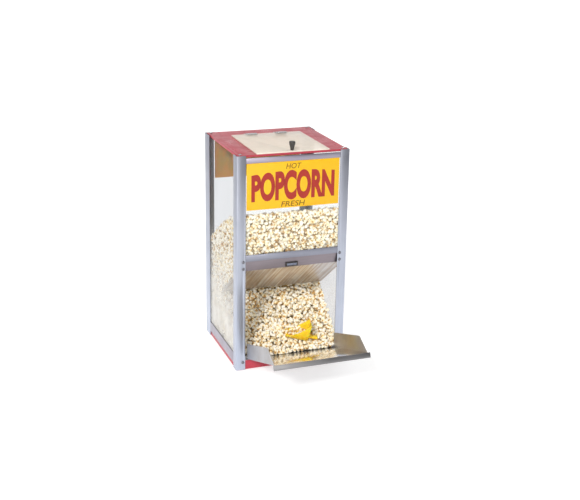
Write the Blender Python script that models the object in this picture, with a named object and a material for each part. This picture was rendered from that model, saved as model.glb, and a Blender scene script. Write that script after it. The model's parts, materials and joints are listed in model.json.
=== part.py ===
"""Countertop popcorn warmer with a fold-up serving tray and a hinged fill lid.

Metres, +Z up, front towards -Y.  The origin is the middle of the base on the table.
Places inside the cabinet are given from its front face (y, backwards) and from the
foot of its corner posts (z); the function at() turns them into the part's frame.
"""
import math

import bmesh
import bpy
from mathutils import Matrix, Vector

# Cabinet
WIDTH = 0.362
DEPTH = 0.343
POST_HEIGHT = 0.690
FOOT_HEIGHT = 0.003
GAP = 0.0003
SHEET = 0.0012
HALF_WIDTH = WIDTH / 2

# Corner posts and rails
POST_LEG = 0.030
REAR_POST_SIDE_LEG = 0.048
POST_WALL = 0.0025
POST_CORNER_RADIUS = 0.003
SHELL_SETBACK = POST_WALL + 0.0005
BAR_END_GAP = 0.0005
BAR_SETBACK = 0.0002
BAR_HALF_LENGTH = HALF_WIDTH - POST_LEG - BAR_END_GAP

# Levels up the cabinet
BASE_TOP = 0.0312
DECK_TOP = BASE_TOP + GAP + SHEET
SIDE_RAIL = (0.016, 0.050)
REAR_RAIL = (0.0335, 0.050)
CROSSBAR = (0.359, 0.380)
HEADER = (0.666, 0.6825)
FRONT_SIGN = (0.521, 0.6655)
REAR_SIGN = (0.537, 0.6655)
SKIRT_BOTTOM = 0.684
ROOF_TOP = 0.6905
ROOF_SETBACK = 0.0055

# Base pan, bottom cover and feet
PAN_FLANGE = 0.026
COVER_OVERLAP = 0.012
FOOT_INSET = 0.018
FOOT_RADIUS = 0.009

# Rear panel fittings: half sizes across and up, and places across the rear wall
SWITCH_X = -0.100
INLET_X = -0.135
FITTING_Z = 0.0165
SWITCH_HALF = (0.0095, 0.0065)
SWITCH_HOLLOW = (0.0080, 0.0050)
SWITCH_DEPTH = 0.012
SWITCH_HOLLOW_DEPTH = 0.009
SWITCH_FLANGE = 0.0015
INLET_HALF = (0.0135, 0.0098)
INLET_HOLLOW = (0.0115, 0.0078)
INLET_DEPTH = 0.018
INLET_HOLLOW_DEPTH = 0.015
INLET_FLANGE = 0.0018
ROCKER_TILT = 11.0
ROCKER_HALF_LENGTH = 0.0072
ROCKER_HALF_HEIGHT = 0.0046
ROCKER_NOSE = 0.0026
ROCKER_BACK = 0.0022
ROCKER_PIVOT_DEPTH = 0.0020

# Heating element under the deck, its clips and the thermal cut-out
HEATER_RADIUS = 0.0032
HEATER_LEVEL = 0.0240
HEATER_BEND = 0.030
HEATER_FRONT = 0.070
HEATER_REAR = 0.300
HEATER_HALF_WIDTH = 0.110
CLIP_Y = 0.180
CLIP_WING = 0.008
CLIP_HALF_WIDTH = 0.005
CUTOUT_HEIGHT = 0.008
CUTOUT_RADIUS = 0.008
CUTOUT_FLANGE_RADIUS = 0.012

# Clear panels
PANE = 0.003
PANE_BOTTOM = DECK_TOP + GAP
PANE_TOP = SKIRT_BOTTOM - GAP

# Sign panels: how deep behind the front face they stand, and their gap to the posts
SIGN_DEPTHS = (0.0016, 0.0026)
SIGN_END_GAP = 0.002

# Lid and its hinges
LID_HALF_WIDTH = 0.116
LID_FRONT = 0.006
LID_REAR = 0.263
LID_THICKNESS = 0.004
LID_OVERLAP = 0.007
LID_REAR_OVERLAP = 0.016
HINGE_OFFSET_X = 0.050
HINGE_HALF_WIDTH = 0.019
HINGE_LEAF = 0.018
HINGE_SHEET = 0.0012
KNUCKLE_RADIUS = 0.0022
PIN_RADIUS = 0.0013
HINGE_AXIS_Y = LID_REAR + 0.0034
HINGE_AXIS_Z = ROOF_TOP + KNUCKLE_RADIUS + HINGE_SHEET / 2 + GAP
CENTRE_KNUCKLE = 0.0065
KNOB_FROM_LID_FRONT = 0.013
KNOB_BORE_DEPTH = 0.011
KNOB_SCREW_RADIUS = 0.0019
KNOB_SCREW_HEAD_RADIUS = 0.0042
KNOB_SCREW_HEAD_HEIGHT = 0.0020
KNOB_SCREW_REACH = 0.0145

# Screws
SCREW_HEAD_RADIUS = 0.0047
SCREW_HEAD_HEIGHT = 0.0024
SCREW_SHANK_RADIUS = 0.0019
SCREW_HOLE_RADIUS = 0.0023
POST_SCREW_X = HALF_WIDTH - 0.0225
POST_SCREW_LEVELS = (0.025, 0.337, 0.359)
ROOF_SCREW_INSET = 0.0165
ROUND_STEPS = 12

# Baffle above the dispensing mouth: (y, z) corners of the folded sheet
BAFFLE_FOLDS = ((0.0038, 0.3780), (0.0038, 0.3580), (0.0080, 0.3270), (0.1850, 0.1960))

# Magnetic catch on the baffle
CATCH_LEVEL = 0.3365
CATCH_HALF_WIDTH = 0.020
CATCH_HALF_HEIGHT = 0.0070
CATCH_DEPTH = 0.0035
CATCH_RIM = (0.004, 0.003)
CATCH_FLOOR = 0.0005

# Serving tray
TRAY_LENGTH = 0.2885
TRAY_TILT = math.radians(19.7)
TRAY_HALF_WIDTH = 0.1475
TRAY_WALL_HEIGHT = 0.048
TRAY_WALL_REAR = 0.010
TRAY_WALL_REAR_TOP = 0.024
TRAY_WALL_FRONT = 0.007
TRAY_LIP = 0.016
TRAY_LIP_HALF_WIDTH = 0.153
TRAY_PIVOT_Y = 0.0035
TRAY_PIVOT_Z = 0.0403
ROD_RADIUS = 0.003
ROLL_RADIUS = 0.004
BRACKET_INNER_X = 0.1489
BRACKET_OUTER_X = 0.1504
BRACKET_RADIUS = 0.0055
BRACKET_FOOT = 0.010
BRACKET_FOOT_HALF_DEPTH = 0.005

# Scoop: a deep bowl open at the top and the mouth, with a bar handle behind it
SCOOP_LENGTH = 0.070
SCOOP_RADIUS = 0.030
SCOOP_BACK_HEIGHT = 0.060
SCOOP_MOUTH_HEIGHT = 0.012
SCOOP_WALL = 0.002
SCOOP_HANDLE = 0.036
SCOOP_HANDLE_HALF_WIDTH = 0.010
SCOOP_HANDLE_LEVELS = (0.010, 0.018)
SCOOP_HANDLE_ROUND = 0.003
SCOOP_HANDLE_ROOT = 0.0011
SCOOP_PLACE = (0.068, 0.038, 0.0580)
SCOOP_AXIS = (-0.93, 0.28, 0.22)
SCOOP_UP = (0.20, -0.08, 0.98)

# Popcorn: the free slope rises from its toe at the mouth to the baffle's rear edge, and the
# heap's top falls from the front pane to the rear one through these (y, z) points
POPCORN_SPLIT_Y = 0.060
POPCORN_TOE = (0.0240, 0.0340)
POPCORN_SLOPE = math.tan(math.radians(37.3))
HEAP_FRONT_TOP = 0.492
HEAP_TOP = ((0.100, 0.460), (0.160, 0.432), (0.245, 0.380), (0.292, 0.345))
HEAP_REAR_TOP = 0.318
BAFFLE_CLEARANCE = 0.0015
PANE_CLEARANCE = 0.0010
CRUST = 0.003

TRAY_REACH = (TRAY_LENGTH * math.cos(TRAY_TILT)
              + (ROLL_RADIUS + TRAY_LIP) * math.sin(TRAY_TILT) - TRAY_PIVOT_Y)
FRONT_Y = (TRAY_REACH - DEPTH) / 2


def at(x, y, z):
    """A place from the front face and the post feet, in the part's frame."""
    return Vector((x, FRONT_Y + y, FOOT_HEIGHT + z))


def clear_scene():
    """Remove every object of the file that this script runs in."""
    for thing in list(bpy.data.objects):
        bpy.data.objects.remove(thing, do_unlink=True)


def make_material(name, colour, roughness, metallic=0.0, alpha=1.0):
    """A Principled material of one colour."""
    material = bpy.data.materials.new(name)
    material.use_nodes = True
    shader = material.node_tree.nodes["Principled BSDF"]
    shader.inputs["Base Color"].default_value = (*colour, 1.0)
    shader.inputs["Roughness"].default_value = roughness
    shader.inputs["Metallic"].default_value = metallic
    shader.inputs["Alpha"].default_value = alpha
    return material


def finishes():
    """Every finish of the object by name."""
    return {
        "aluminium": make_material("aluminium", (0.55, 0.58, 0.66), 0.35, 1.0),
        "red_paint": make_material("red_paint", (0.42, 0.03, 0.06), 0.35),
        "stainless": make_material("stainless", (0.55, 0.52, 0.50), 0.30, 1.0),
        "clear": make_material("clear", (0.95, 0.95, 0.93), 0.05, 0.0, 0.25),
        "sign": make_material("sign", (1.0, 0.68, 0.02), 0.40),
        "bright_steel": make_material("bright_steel", (0.62, 0.62, 0.64), 0.25, 1.0),
        "black_plastic": make_material("black_plastic", (0.02, 0.018, 0.018), 0.45),
        "rubber": make_material("rubber", (0.03, 0.03, 0.03), 0.80),
        "scoop_plastic": make_material("scoop_plastic", (0.95, 0.62, 0.03), 0.35),
        "popcorn": make_material("popcorn", (0.93, 0.86, 0.62), 0.75),
    }


def add_object(name, bm, material, location=(0, 0, 0), parent=None):
    """Turn a bmesh into a named object and place it, keeping its world place under a parent."""
    mesh = bpy.data.meshes.new(name)
    bm.to_mesh(mesh)
    bm.free()
    thing = bpy.data.objects.new(name, mesh)
    bpy.context.scene.collection.objects.link(thing)
    thing.data.materials.append(material)
    thing.location = Vector(location)
    if parent is not None:
        thing.parent = parent
        thing.location = Vector(location) - parent.location
    return thing


def round_off(thing, angle=35):
    """Smooth shading that keeps the sharp edges."""
    thing.data.shade_smooth()
    thing.data.set_sharp_from_angle(angle=math.radians(angle))
    return thing


def add_axis(name, location):
    """An empty on a joint's axis, for the pieces that turn or slide with it."""
    empty = bpy.data.objects.new(name, None)
    bpy.context.scene.collection.objects.link(empty)
    empty.location = location
    return empty


def block_mesh(lo, hi):
    """A box between two corners, about its own centre, and that centre."""
    lo, hi = Vector(lo), Vector(hi)
    bm = bmesh.new()
    bmesh.ops.create_cube(bm, size=1.0)
    bmesh.ops.scale(bm, verts=bm.verts, vec=hi - lo)
    return bm, (lo + hi) / 2


def add_block(name, lo, hi, material, parent=None):
    """A plain box piece between two corners."""
    bm, centre = block_mesh(lo, hi)
    return add_object(name, bm, material, centre, parent)


def prism_mesh(outline, start, end, axis="X"):
    """Extrude a flat outline along an axis.

    The outline's points are (y, z) for axis X and (x, y) for axis Z.
    """
    bm = bmesh.new()
    if axis == "X":
        ring = [bm.verts.new((start, a, b)) for a, b in outline]
        step = Vector((end - start, 0, 0))
    else:
        ring = [bm.verts.new((a, b, start)) for a, b in outline]
        step = Vector((0, 0, end - start))
    face = bm.faces.new(ring)
    swept = bmesh.ops.extrude_face_region(bm, geom=[face])
    moved = [item for item in swept["geom"] if isinstance(item, bmesh.types.BMVert)]
    bmesh.ops.translate(bm, verts=moved, vec=step)
    bmesh.ops.recalc_face_normals(bm, faces=bm.faces)
    return bm


def sheet_outline(path, thickness):
    """The closed outline of a bent sheet whose middle follows the path."""
    half = thickness / 2
    points = [Vector(p) for p in path]
    left, right = [], []
    for i, point in enumerate(points):
        before = (point - points[i - 1]).normalized() if i else None
        after = (points[i + 1] - point).normalized() if i + 1 < len(points) else None
        first = before or after
        second = after or before
        bisector = (first + second).normalized()
        normal = Vector((-bisector.y, bisector.x))
        stretch = half / max(0.3, normal.dot(Vector((-first.y, first.x))))
        left.append(point + normal * stretch)
        right.append(point - normal * stretch)
    return [tuple(p) for p in left + right[::-1]]


def arc(centre, radius, start, end, steps):
    """Points on an arc, angles in degrees."""
    points = []
    for i in range(steps + 1):
        angle = math.radians(start + (end - start) * i / steps)
        points.append((centre[0] + radius * math.cos(angle), centre[1] + radius * math.sin(angle)))
    return points


def lathe_mesh(profile, steps=ROUND_STEPS):
    """Turn an (r, z) profile that starts and ends on the axis about Z."""
    bm = bmesh.new()
    verts = [bm.verts.new((r, 0, z)) for r, z in profile]
    edges = [bm.edges.new(pair) for pair in zip(verts, verts[1:])]
    bmesh.ops.spin(bm, geom=verts + edges, cent=(0, 0, 0), axis=(0, 0, 1),
                   angle=math.tau, steps=steps, use_merge=True)
    bmesh.ops.remove_doubles(bm, verts=bm.verts, dist=1e-6)
    bmesh.ops.recalc_face_normals(bm, faces=bm.faces)
    return bm


def rod_mesh(radius, length, steps=ROUND_STEPS):
    """A cylinder along Z, centred on its origin."""
    half = length / 2
    return lathe_mesh([(0, -half), (radius, -half), (radius, half), (0, half)], steps)


def add_tool(name, bm, location=(0, 0, 0)):
    """A hidden shape that cuts or joins another piece."""
    mesh = bpy.data.meshes.new(name)
    bm.to_mesh(mesh)
    bm.free()
    tool = bpy.data.objects.new(name, mesh)
    bpy.context.scene.collection.objects.link(tool)
    tool.location = location
    tool.hide_render = True
    tool.display_type = "WIRE"
    return tool


def combine(thing, tool, operation="DIFFERENCE"):
    """Cut a tool out of a piece, or join it on."""
    modifier = thing.modifiers.new(tool.name, "BOOLEAN")
    modifier.operation = operation
    modifier.solver = "EXACT"
    modifier.object = tool
    return thing


def box_tool(name, lo, hi):
    """A hidden box between two corners."""
    bm, centre = block_mesh(lo, hi)
    return add_tool(name, bm, centre)


def hole_tool(name, place, length, axis="Z"):
    """A hidden cylinder the size of a screw hole."""
    bm = rod_mesh(SCREW_HOLE_RADIUS, length)
    if axis == "Y":
        bmesh.ops.rotate(bm, verts=bm.verts, matrix=Matrix.Rotation(math.radians(90), 3, "X"))
    return add_tool(name, bm, place)


def post_outline(side, front, side_leg):
    """The L section of a corner post, about its outer corner."""
    radius = POST_CORNER_RADIUS
    corner = arc((radius, radius), radius, 180, 270, 4)
    shape = corner + [(POST_LEG, 0), (POST_LEG, POST_WALL), (POST_WALL, POST_WALL),
                      (POST_WALL, side_leg), (0, side_leg)]
    return [(-side * x, front * y) for x, y in shape]


def build_posts(finish):
    """Four aluminium angle posts; the front ones are drilled for their screws."""
    for side, side_name in ((-1, "left"), (1, "right")):
        for front, end_name in ((1, "front"), (-1, "rear")):
            leg = POST_LEG if front == 1 else REAR_POST_SIDE_LEG
            bm = prism_mesh(post_outline(side, front, leg), 0, POST_HEIGHT, "Z")
            corner = at(side * HALF_WIDTH, 0 if front == 1 else DEPTH, 0)
            post = add_object(f"post_{end_name}_{side_name}", bm, finish["aluminium"], corner)
            if front == 1:
                drill_post(post, side, side_name)


def drill_post(post, side, side_name):
    """Three screw holes up a front post, and the screws in them."""
    for number, level in enumerate(POST_SCREW_LEVELS, 1):
        place = at(side * POST_SCREW_X, POST_WALL / 2, level)
        combine(post, hole_tool(f"post_hole_{side_name}_{number}", place, 4 * POST_WALL, "Y"))


def screw_mesh(shank):
    """A pan-head screw standing on Z = 0 with its shank below."""
    head = [(0, SCREW_HEAD_HEIGHT), (0.55 * SCREW_HEAD_RADIUS, 0.92 * SCREW_HEAD_HEIGHT),
            (0.88 * SCREW_HEAD_RADIUS, 0.60 * SCREW_HEAD_HEIGHT), (SCREW_HEAD_RADIUS, 0)]
    stem = [(SCREW_SHANK_RADIUS, 0), (SCREW_SHANK_RADIUS, -shank), (0, -shank)]
    return lathe_mesh(head + stem)


def build_screws(finish):
    """Screws through the front posts and the roof corners."""
    turn = Matrix.Rotation(math.radians(90), 3, "X")
    for side, side_name in ((-1, "left"), (1, "right")):
        for number, level in enumerate(POST_SCREW_LEVELS, 1):
            bm = screw_mesh(POST_WALL)
            bmesh.ops.rotate(bm, verts=bm.verts, matrix=turn)
            place = at(side * POST_SCREW_X, -GAP, level)
            name = f"post_screw_{side_name}_{number}"
            round_off(add_object(name, bm, finish["bright_steel"], place))
        for end_name, y in roof_screw_rows():
            place = at(side * roof_screw_x(), y, ROOF_TOP + GAP)
            name = f"roof_screw_{end_name}_{side_name}"
            round_off(add_object(name, screw_mesh(0.004), finish["bright_steel"], place))


def roof_screw_x():
    """How far the roof screws stand from the middle."""
    return HALF_WIDTH - ROOF_SCREW_INSET


def roof_screw_rows():
    """The two rows of roof screws, by name, and how far back each is."""
    return (("front", ROOF_SCREW_INSET), ("rear", DEPTH - ROOF_SCREW_INSET))


def build_base(finish):
    """The red base pan, its bottom cover, the heated deck and the feet."""
    outer = HALF_WIDTH - SHELL_SETBACK
    pan = add_block("base_pan", at(-outer, SHELL_SETBACK, 0),
                    at(outer, DEPTH - SHELL_SETBACK, BASE_TOP), finish["red_paint"])
    inner = outer - SHEET
    combine(pan, box_tool("pan_hollow", at(-inner, SHELL_SETBACK + SHEET, SHEET),
                          at(inner, DEPTH - SHELL_SETBACK - SHEET, BASE_TOP + SHEET)))
    opening = inner - PAN_FLANGE
    rim = SHELL_SETBACK + PAN_FLANGE
    combine(pan, box_tool("pan_floor_opening", at(-opening, rim, -SHEET),
                          at(opening, DEPTH - rim, 2 * SHEET)))
    for tool in rear_cutouts():
        combine(pan, tool)
    reach = opening + COVER_OVERLAP
    edge = rim - COVER_OVERLAP
    add_block("bottom_cover", at(-reach, edge, SHEET + GAP), at(reach, DEPTH - edge, 2 * SHEET + GAP),
              finish["aluminium"])
    add_block("heat_deck", at(-outer, SHELL_SETBACK, BASE_TOP + GAP),
              at(outer, DEPTH - SHELL_SETBACK, DECK_TOP), finish["stainless"])
    build_feet(finish)


def build_feet(finish):
    """A rubber pad under each corner of the base pan."""
    height = FOOT_HEIGHT - GAP
    profile = [(0, 0), (FOOT_RADIUS * 0.85, 0), (FOOT_RADIUS, height), (0, height)]
    for side, side_name in ((-1, "left"), (1, "right")):
        for end_name, y in (("front", FOOT_INSET), ("rear", DEPTH - FOOT_INSET)):
            place = at(side * (HALF_WIDTH - FOOT_INSET), y, 0)
            place.z = 0
            name = f"foot_{end_name}_{side_name}"
            round_off(add_object(name, lathe_mesh(profile), finish["rubber"], place))


def rear_cutouts():
    """Hidden boxes that open the rear wall for the switch and the power inlet."""
    tools = []
    for name, x, half in (("switch_cutout", SWITCH_X, SWITCH_HALF), ("inlet_cutout", INLET_X, INLET_HALF)):
        room = [h + GAP for h in half]
        tools.append(box_tool(name, at(x - room[0], DEPTH - 3 * SHELL_SETBACK, FITTING_Z - room[1]),
                              at(x + room[0], DEPTH, FITTING_Z + room[1])))
    return tools


def add_socket(name, x, half, depth, hollow, hollow_depth, flange, material):
    """A rear fitting: a body through the rear wall, a flange outside it and a hollow."""
    wall = DEPTH - SHELL_SETBACK
    face = wall + GAP + SHEET
    fitting = add_block(name, at(x - half[0], wall - depth, FITTING_Z - half[1]),
                        at(x + half[0], face - SHEET / 2, FITTING_Z + half[1]), material)
    rim = [h + flange for h in half]
    combine(fitting, box_tool(f"{name}_flange", at(x - rim[0], wall + GAP, FITTING_Z - rim[1]),
                              at(x + rim[0], face, FITTING_Z + rim[1])), "UNION")
    combine(fitting, box_tool(f"{name}_hollow", at(x - hollow[0], face - hollow_depth, FITTING_Z - hollow[1]),
                              at(x + hollow[0], face + SHEET, FITTING_Z + hollow[1])))
    return fitting


def build_power(finish):
    """Inlet, rocker switch, heating element, its clips and the thermal cut-out."""
    add_socket("cord_inlet", INLET_X, INLET_HALF, INLET_DEPTH, INLET_HOLLOW, INLET_HOLLOW_DEPTH,
               INLET_FLANGE, finish["black_plastic"])
    add_socket("switch_frame", SWITCH_X, SWITCH_HALF, SWITCH_DEPTH, SWITCH_HOLLOW, SWITCH_HOLLOW_DEPTH,
               SWITCH_FLANGE, finish["black_plastic"])
    build_rocker(finish)
    build_heater(finish)


def build_rocker(finish):
    """The rocker: a shallow V about an upright pivot, standing with one end pressed."""
    reach = ROCKER_HALF_LENGTH
    wing = ROCKER_NOSE + math.tan(math.radians(ROCKER_TILT)) * reach
    pivot = at(SWITCH_X, DEPTH - SHELL_SETBACK - ROCKER_PIVOT_DEPTH, FITTING_Z)
    axis = add_axis("rocker_axis", pivot)
    outline = [(-reach, wing), (0, ROCKER_NOSE), (reach, wing),
               (reach * 0.8, -ROCKER_BACK), (-reach * 0.8, -ROCKER_BACK)]
    bm = prism_mesh(outline, -ROCKER_HALF_HEIGHT, ROCKER_HALF_HEIGHT, "Z")
    rocker = add_object("switch_rocker", bm, finish["black_plastic"], pivot, axis)
    rocker.rotation_euler.z = math.radians(ROCKER_TILT)


def build_heater(finish):
    """A U of tubular element under the deck, held by two clips, with a thermal cut-out."""
    bend_x, bend_y = HEATER_HALF_WIDTH - HEATER_BEND, HEATER_FRONT + HEATER_BEND
    route = [(-HEATER_HALF_WIDTH, HEATER_REAR)]
    route += arc((-bend_x, bend_y), HEATER_BEND, 180, 270, 6)
    route += arc((bend_x, bend_y), HEATER_BEND, 270, 360, 6)
    route.append((HEATER_HALF_WIDTH, HEATER_REAR))
    curve = bpy.data.curves.new("heater_element", "CURVE")
    curve.dimensions = "3D"
    curve.bevel_depth = HEATER_RADIUS
    curve.bevel_resolution = 2
    curve.use_fill_caps = True
    spline = curve.splines.new("POLY")
    spline.points.add(len(route) - 1)
    for point, (x, y) in zip(spline.points, route):
        point.co = (*at(x, y, HEATER_LEVEL), 1.0)
    element = bpy.data.objects.new("heater_element", curve)
    bpy.context.scene.collection.objects.link(element)
    element.data.materials.append(finish["stainless"])
    for side, side_name in ((-1, "left"), (1, "right")):
        add_clip(f"heater_clip_{side_name}", side * HEATER_HALF_WIDTH, finish)
    rim = CUTOUT_HEIGHT - 0.002
    profile = [(0, 0), (CUTOUT_RADIUS, 0), (CUTOUT_RADIUS, rim), (CUTOUT_FLANGE_RADIUS, rim),
               (CUTOUT_FLANGE_RADIUS, CUTOUT_HEIGHT), (0, CUTOUT_HEIGHT)]
    cutout = add_object("thermal_cutout", lathe_mesh(profile), finish["bright_steel"],
                        at(0, CLIP_Y, BASE_TOP - CUTOUT_HEIGHT))
    round_off(cutout)


def add_clip(name, x, finish):
    """A saddle clip under the heating element, running along Y."""
    radius = HEATER_RADIUS + GAP + SHEET / 2
    top = BASE_TOP - SHEET / 2
    path = [(x - radius - CLIP_WING, top), (x - radius, top)]
    path += arc((x, HEATER_LEVEL), radius, 180, 360, 8)
    path += [(x + radius, top), (x + radius + CLIP_WING, top)]
    bm = prism_mesh(sheet_outline(path, SHEET), -CLIP_HALF_WIDTH, CLIP_HALF_WIDTH, "X")
    bmesh.ops.rotate(bm, verts=bm.verts, matrix=Matrix.Rotation(math.radians(90), 3, "Z"))
    bmesh.ops.scale(bm, verts=bm.verts, vec=(-1, 1, 1))
    bmesh.ops.recalc_face_normals(bm, faces=bm.faces)
    add_object(name, bm, finish["bright_steel"], at(0, CLIP_Y, 0))


def build_rails(finish):
    """Aluminium rails between the posts, low down at the sides and rear and across the front."""
    bar = BAR_HALF_LENGTH
    inner = POST_WALL
    for side, side_name in ((-1, "left"), (1, "right")):
        xs = sorted((side * (HALF_WIDTH - BAR_SETBACK), side * (HALF_WIDTH - inner)))
        add_block(f"rail_lower_{side_name}", at(xs[0], POST_LEG + BAR_END_GAP, SIDE_RAIL[0]),
                  at(xs[1], DEPTH - REAR_POST_SIDE_LEG - BAR_END_GAP, SIDE_RAIL[1]), finish["aluminium"])
    for name, (low, high) in (("rail_lower_rear", REAR_RAIL), ("rail_upper_rear", HEADER)):
        add_block(name, at(-bar, DEPTH - inner, low), at(bar, DEPTH - BAR_SETBACK, high), finish["aluminium"])
    for name, (low, high) in (("rail_header", HEADER), ("crossbar", CROSSBAR)):
        add_block(name, at(-bar, BAR_SETBACK, low), at(bar, inner, high), finish["aluminium"])


def build_panes(finish):
    """Four clear walls."""
    edge = HALF_WIDTH - SHELL_SETBACK
    for side, side_name in ((-1, "left"), (1, "right")):
        xs = sorted((side * edge, side * (edge - PANE)))
        add_block(f"pane_{side_name}", at(xs[0], SHELL_SETBACK, PANE_BOTTOM),
                  at(xs[1], DEPTH - SHELL_SETBACK, PANE_TOP), finish["clear"])
    inner = edge - PANE - GAP
    add_block("pane_front", at(-inner, SHELL_SETBACK, CROSSBAR[1] + BAR_END_GAP),
              at(inner, SHELL_SETBACK + PANE, PANE_TOP), finish["clear"])
    add_block("pane_rear", at(-inner, DEPTH - SHELL_SETBACK - PANE, PANE_BOTTOM),
              at(inner, DEPTH - SHELL_SETBACK, PANE_TOP), finish["clear"])


def build_signs(finish):
    """Thin yellow sign panels outside the front and rear panes."""
    half = BAR_HALF_LENGTH - SIGN_END_GAP
    outer, inner = SIGN_DEPTHS
    add_block("sign_front", at(-half, outer, FRONT_SIGN[0]), at(half, inner, FRONT_SIGN[1]), finish["sign"])
    add_block("sign_rear", at(-half, DEPTH - inner, REAR_SIGN[0]),
              at(half, DEPTH - outer, REAR_SIGN[1]), finish["sign"])


def build_baffle(finish):
    """The folded sheet that holds the popcorn back above the mouth, and its catch."""
    half = HALF_WIDTH - SHELL_SETBACK - PANE - GAP
    bm = prism_mesh(sheet_outline(BAFFLE_FOLDS, SHEET), -half, half)
    add_object("baffle", bm, finish["stainless"], at(0, 0, 0))
    build_catch(finish)


def build_catch(finish):
    """A magnetic catch on the baffle's front flange, leaning with it."""
    half_width, half_height, depth = CATCH_HALF_WIDTH, CATCH_HALF_HEIGHT, CATCH_DEPTH
    upper, lower = BAFFLE_FOLDS[1], BAFFLE_FOLDS[2]
    lean = math.atan2(lower[0] - upper[0], upper[1] - lower[1])
    face = upper[0] + (upper[1] - CATCH_LEVEL) * math.tan(lean) - SHEET
    centre = at(0, face - GAP - depth / 2, CATCH_LEVEL)
    bm, _ = block_mesh((-half_width, -depth / 2, -half_height), (half_width, depth / 2, half_height))
    housing = add_object("catch_housing", bm, finish["black_plastic"], centre)
    housing.rotation_euler.x = lean
    plate_half = (half_width - CATCH_RIM[0], half_height - CATCH_RIM[1])
    bm, middle = block_mesh((-plate_half[0], -depth, -plate_half[1]),
                            (plate_half[0], -CATCH_FLOOR, plate_half[1]))
    bmesh.ops.translate(bm, verts=bm.verts, vec=middle)
    recess = add_tool("catch_recess", bm, centre)
    recess.rotation_euler.x = lean
    combine(housing, recess)
    bm, middle = block_mesh((-plate_half[0] + GAP, -depth / 2, -plate_half[1] + GAP),
                            (plate_half[0] - GAP, -CATCH_FLOOR - GAP, plate_half[1] - GAP))
    bmesh.ops.translate(bm, verts=bm.verts, vec=middle)
    magnet = add_object("catch_magnet", bm, finish["bright_steel"], centre)
    magnet.rotation_euler.x = lean


def build_roof(finish):
    """The red roof pan, drilled at its corners and open under the lid."""
    outer = HALF_WIDTH - ROOF_SETBACK
    rear = DEPTH - ROOF_SETBACK
    pan = add_block("roof_pan", at(-outer, ROOF_SETBACK, SKIRT_BOTTOM), at(outer, rear, ROOF_TOP),
                    finish["red_paint"])
    inner = outer - SHEET
    combine(pan, box_tool("roof_hollow", at(-inner, ROOF_SETBACK + SHEET, SKIRT_BOTTOM - SHEET),
                          at(inner, rear - SHEET, ROOF_TOP - SHEET)))
    half = LID_HALF_WIDTH - LID_OVERLAP
    combine(pan, box_tool("roof_opening", at(-half, LID_FRONT + LID_OVERLAP, SKIRT_BOTTOM),
                          at(half, LID_REAR - LID_REAR_OVERLAP, ROOF_TOP + SHEET)))
    for side, side_name in ((-1, "left"), (1, "right")):
        for end_name, y in roof_screw_rows():
            place = at(side * roof_screw_x(), y, ROOF_TOP)
            combine(pan, hole_tool(f"roof_hole_{end_name}_{side_name}", place, 0.006))


def hinge_leaf(direction):
    """The section of a hinge leaf whose sheet curls round the pin, about the pin.

    direction is 1 for the roof leaf, under the pin and backwards, and -1 for the lid leaf.
    """
    flat = [(HINGE_LEAF, -KNUCKLE_RADIUS)]
    curl = arc((0, 0), KNUCKLE_RADIUS, -90, -350, 10)
    path = [(direction * y, direction * z) for y, z in flat + curl]
    return sheet_outline(path, HINGE_SHEET)


def build_hinge(number, x, finish, lid_axis):
    """A butt hinge: a roof leaf, a lid leaf that turns with the lid, and the pin."""
    place = at(x, HINGE_AXIS_Y, HINGE_AXIS_Z)
    half = HINGE_HALF_WIDTH
    room = KNUCKLE_RADIUS + HINGE_SHEET / 2 + 0.0005
    leaf = add_object(f"hinge_roof_leaf_{number}", prism_mesh(hinge_leaf(1), -half, half),
                      finish["bright_steel"], place)
    centre = CENTRE_KNUCKLE + GAP
    combine(leaf, box_tool(f"centre_notch_{number}", place + Vector((-centre, -room, -room)),
                           place + Vector((centre, room, room))))
    leaf = add_object(f"hinge_lid_leaf_{number}", prism_mesh(hinge_leaf(-1), -half, half),
                      finish["bright_steel"], place, lid_axis)
    for side, side_name in ((-1, "left"), (1, "right")):
        xs = sorted((side * CENTRE_KNUCKLE, side * (half + 0.001)))
        combine(leaf, box_tool(f"{side_name}_notch_{number}", place + Vector((xs[0], -room, -room)),
                               place + Vector((xs[1], room, room))))
    bm = rod_mesh(PIN_RADIUS, 2 * half - 0.001, 10)
    bmesh.ops.rotate(bm, verts=bm.verts, matrix=Matrix.Rotation(math.radians(90), 3, "Y"))
    round_off(add_object(f"hinge_pin_{number}", bm, finish["bright_steel"], place))


def build_lid(finish):
    """The clear lid with its tapered knob, hung on two hinges at its rear edge."""
    lid_axis = add_axis("lid_axis", at(0, HINGE_AXIS_Y, HINGE_AXIS_Z))
    lid_bottom = ROOF_TOP + GAP
    lid_top = lid_bottom + LID_THICKNESS
    lid = add_block("lid_panel", at(-LID_HALF_WIDTH, LID_FRONT, lid_bottom),
                    at(LID_HALF_WIDTH, LID_REAR, lid_top), finish["clear"], lid_axis)
    knob_y = LID_FRONT + KNOB_FROM_LID_FRONT
    combine(lid, hole_tool("knob_hole", at(0, knob_y, lid_top), 0.020))
    build_knob(finish, at(0, knob_y, lid_top + GAP), lid_axis)
    build_hinge(1, -HINGE_OFFSET_X, finish, lid_axis)
    build_hinge(2, HINGE_OFFSET_X, finish, lid_axis)


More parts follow.
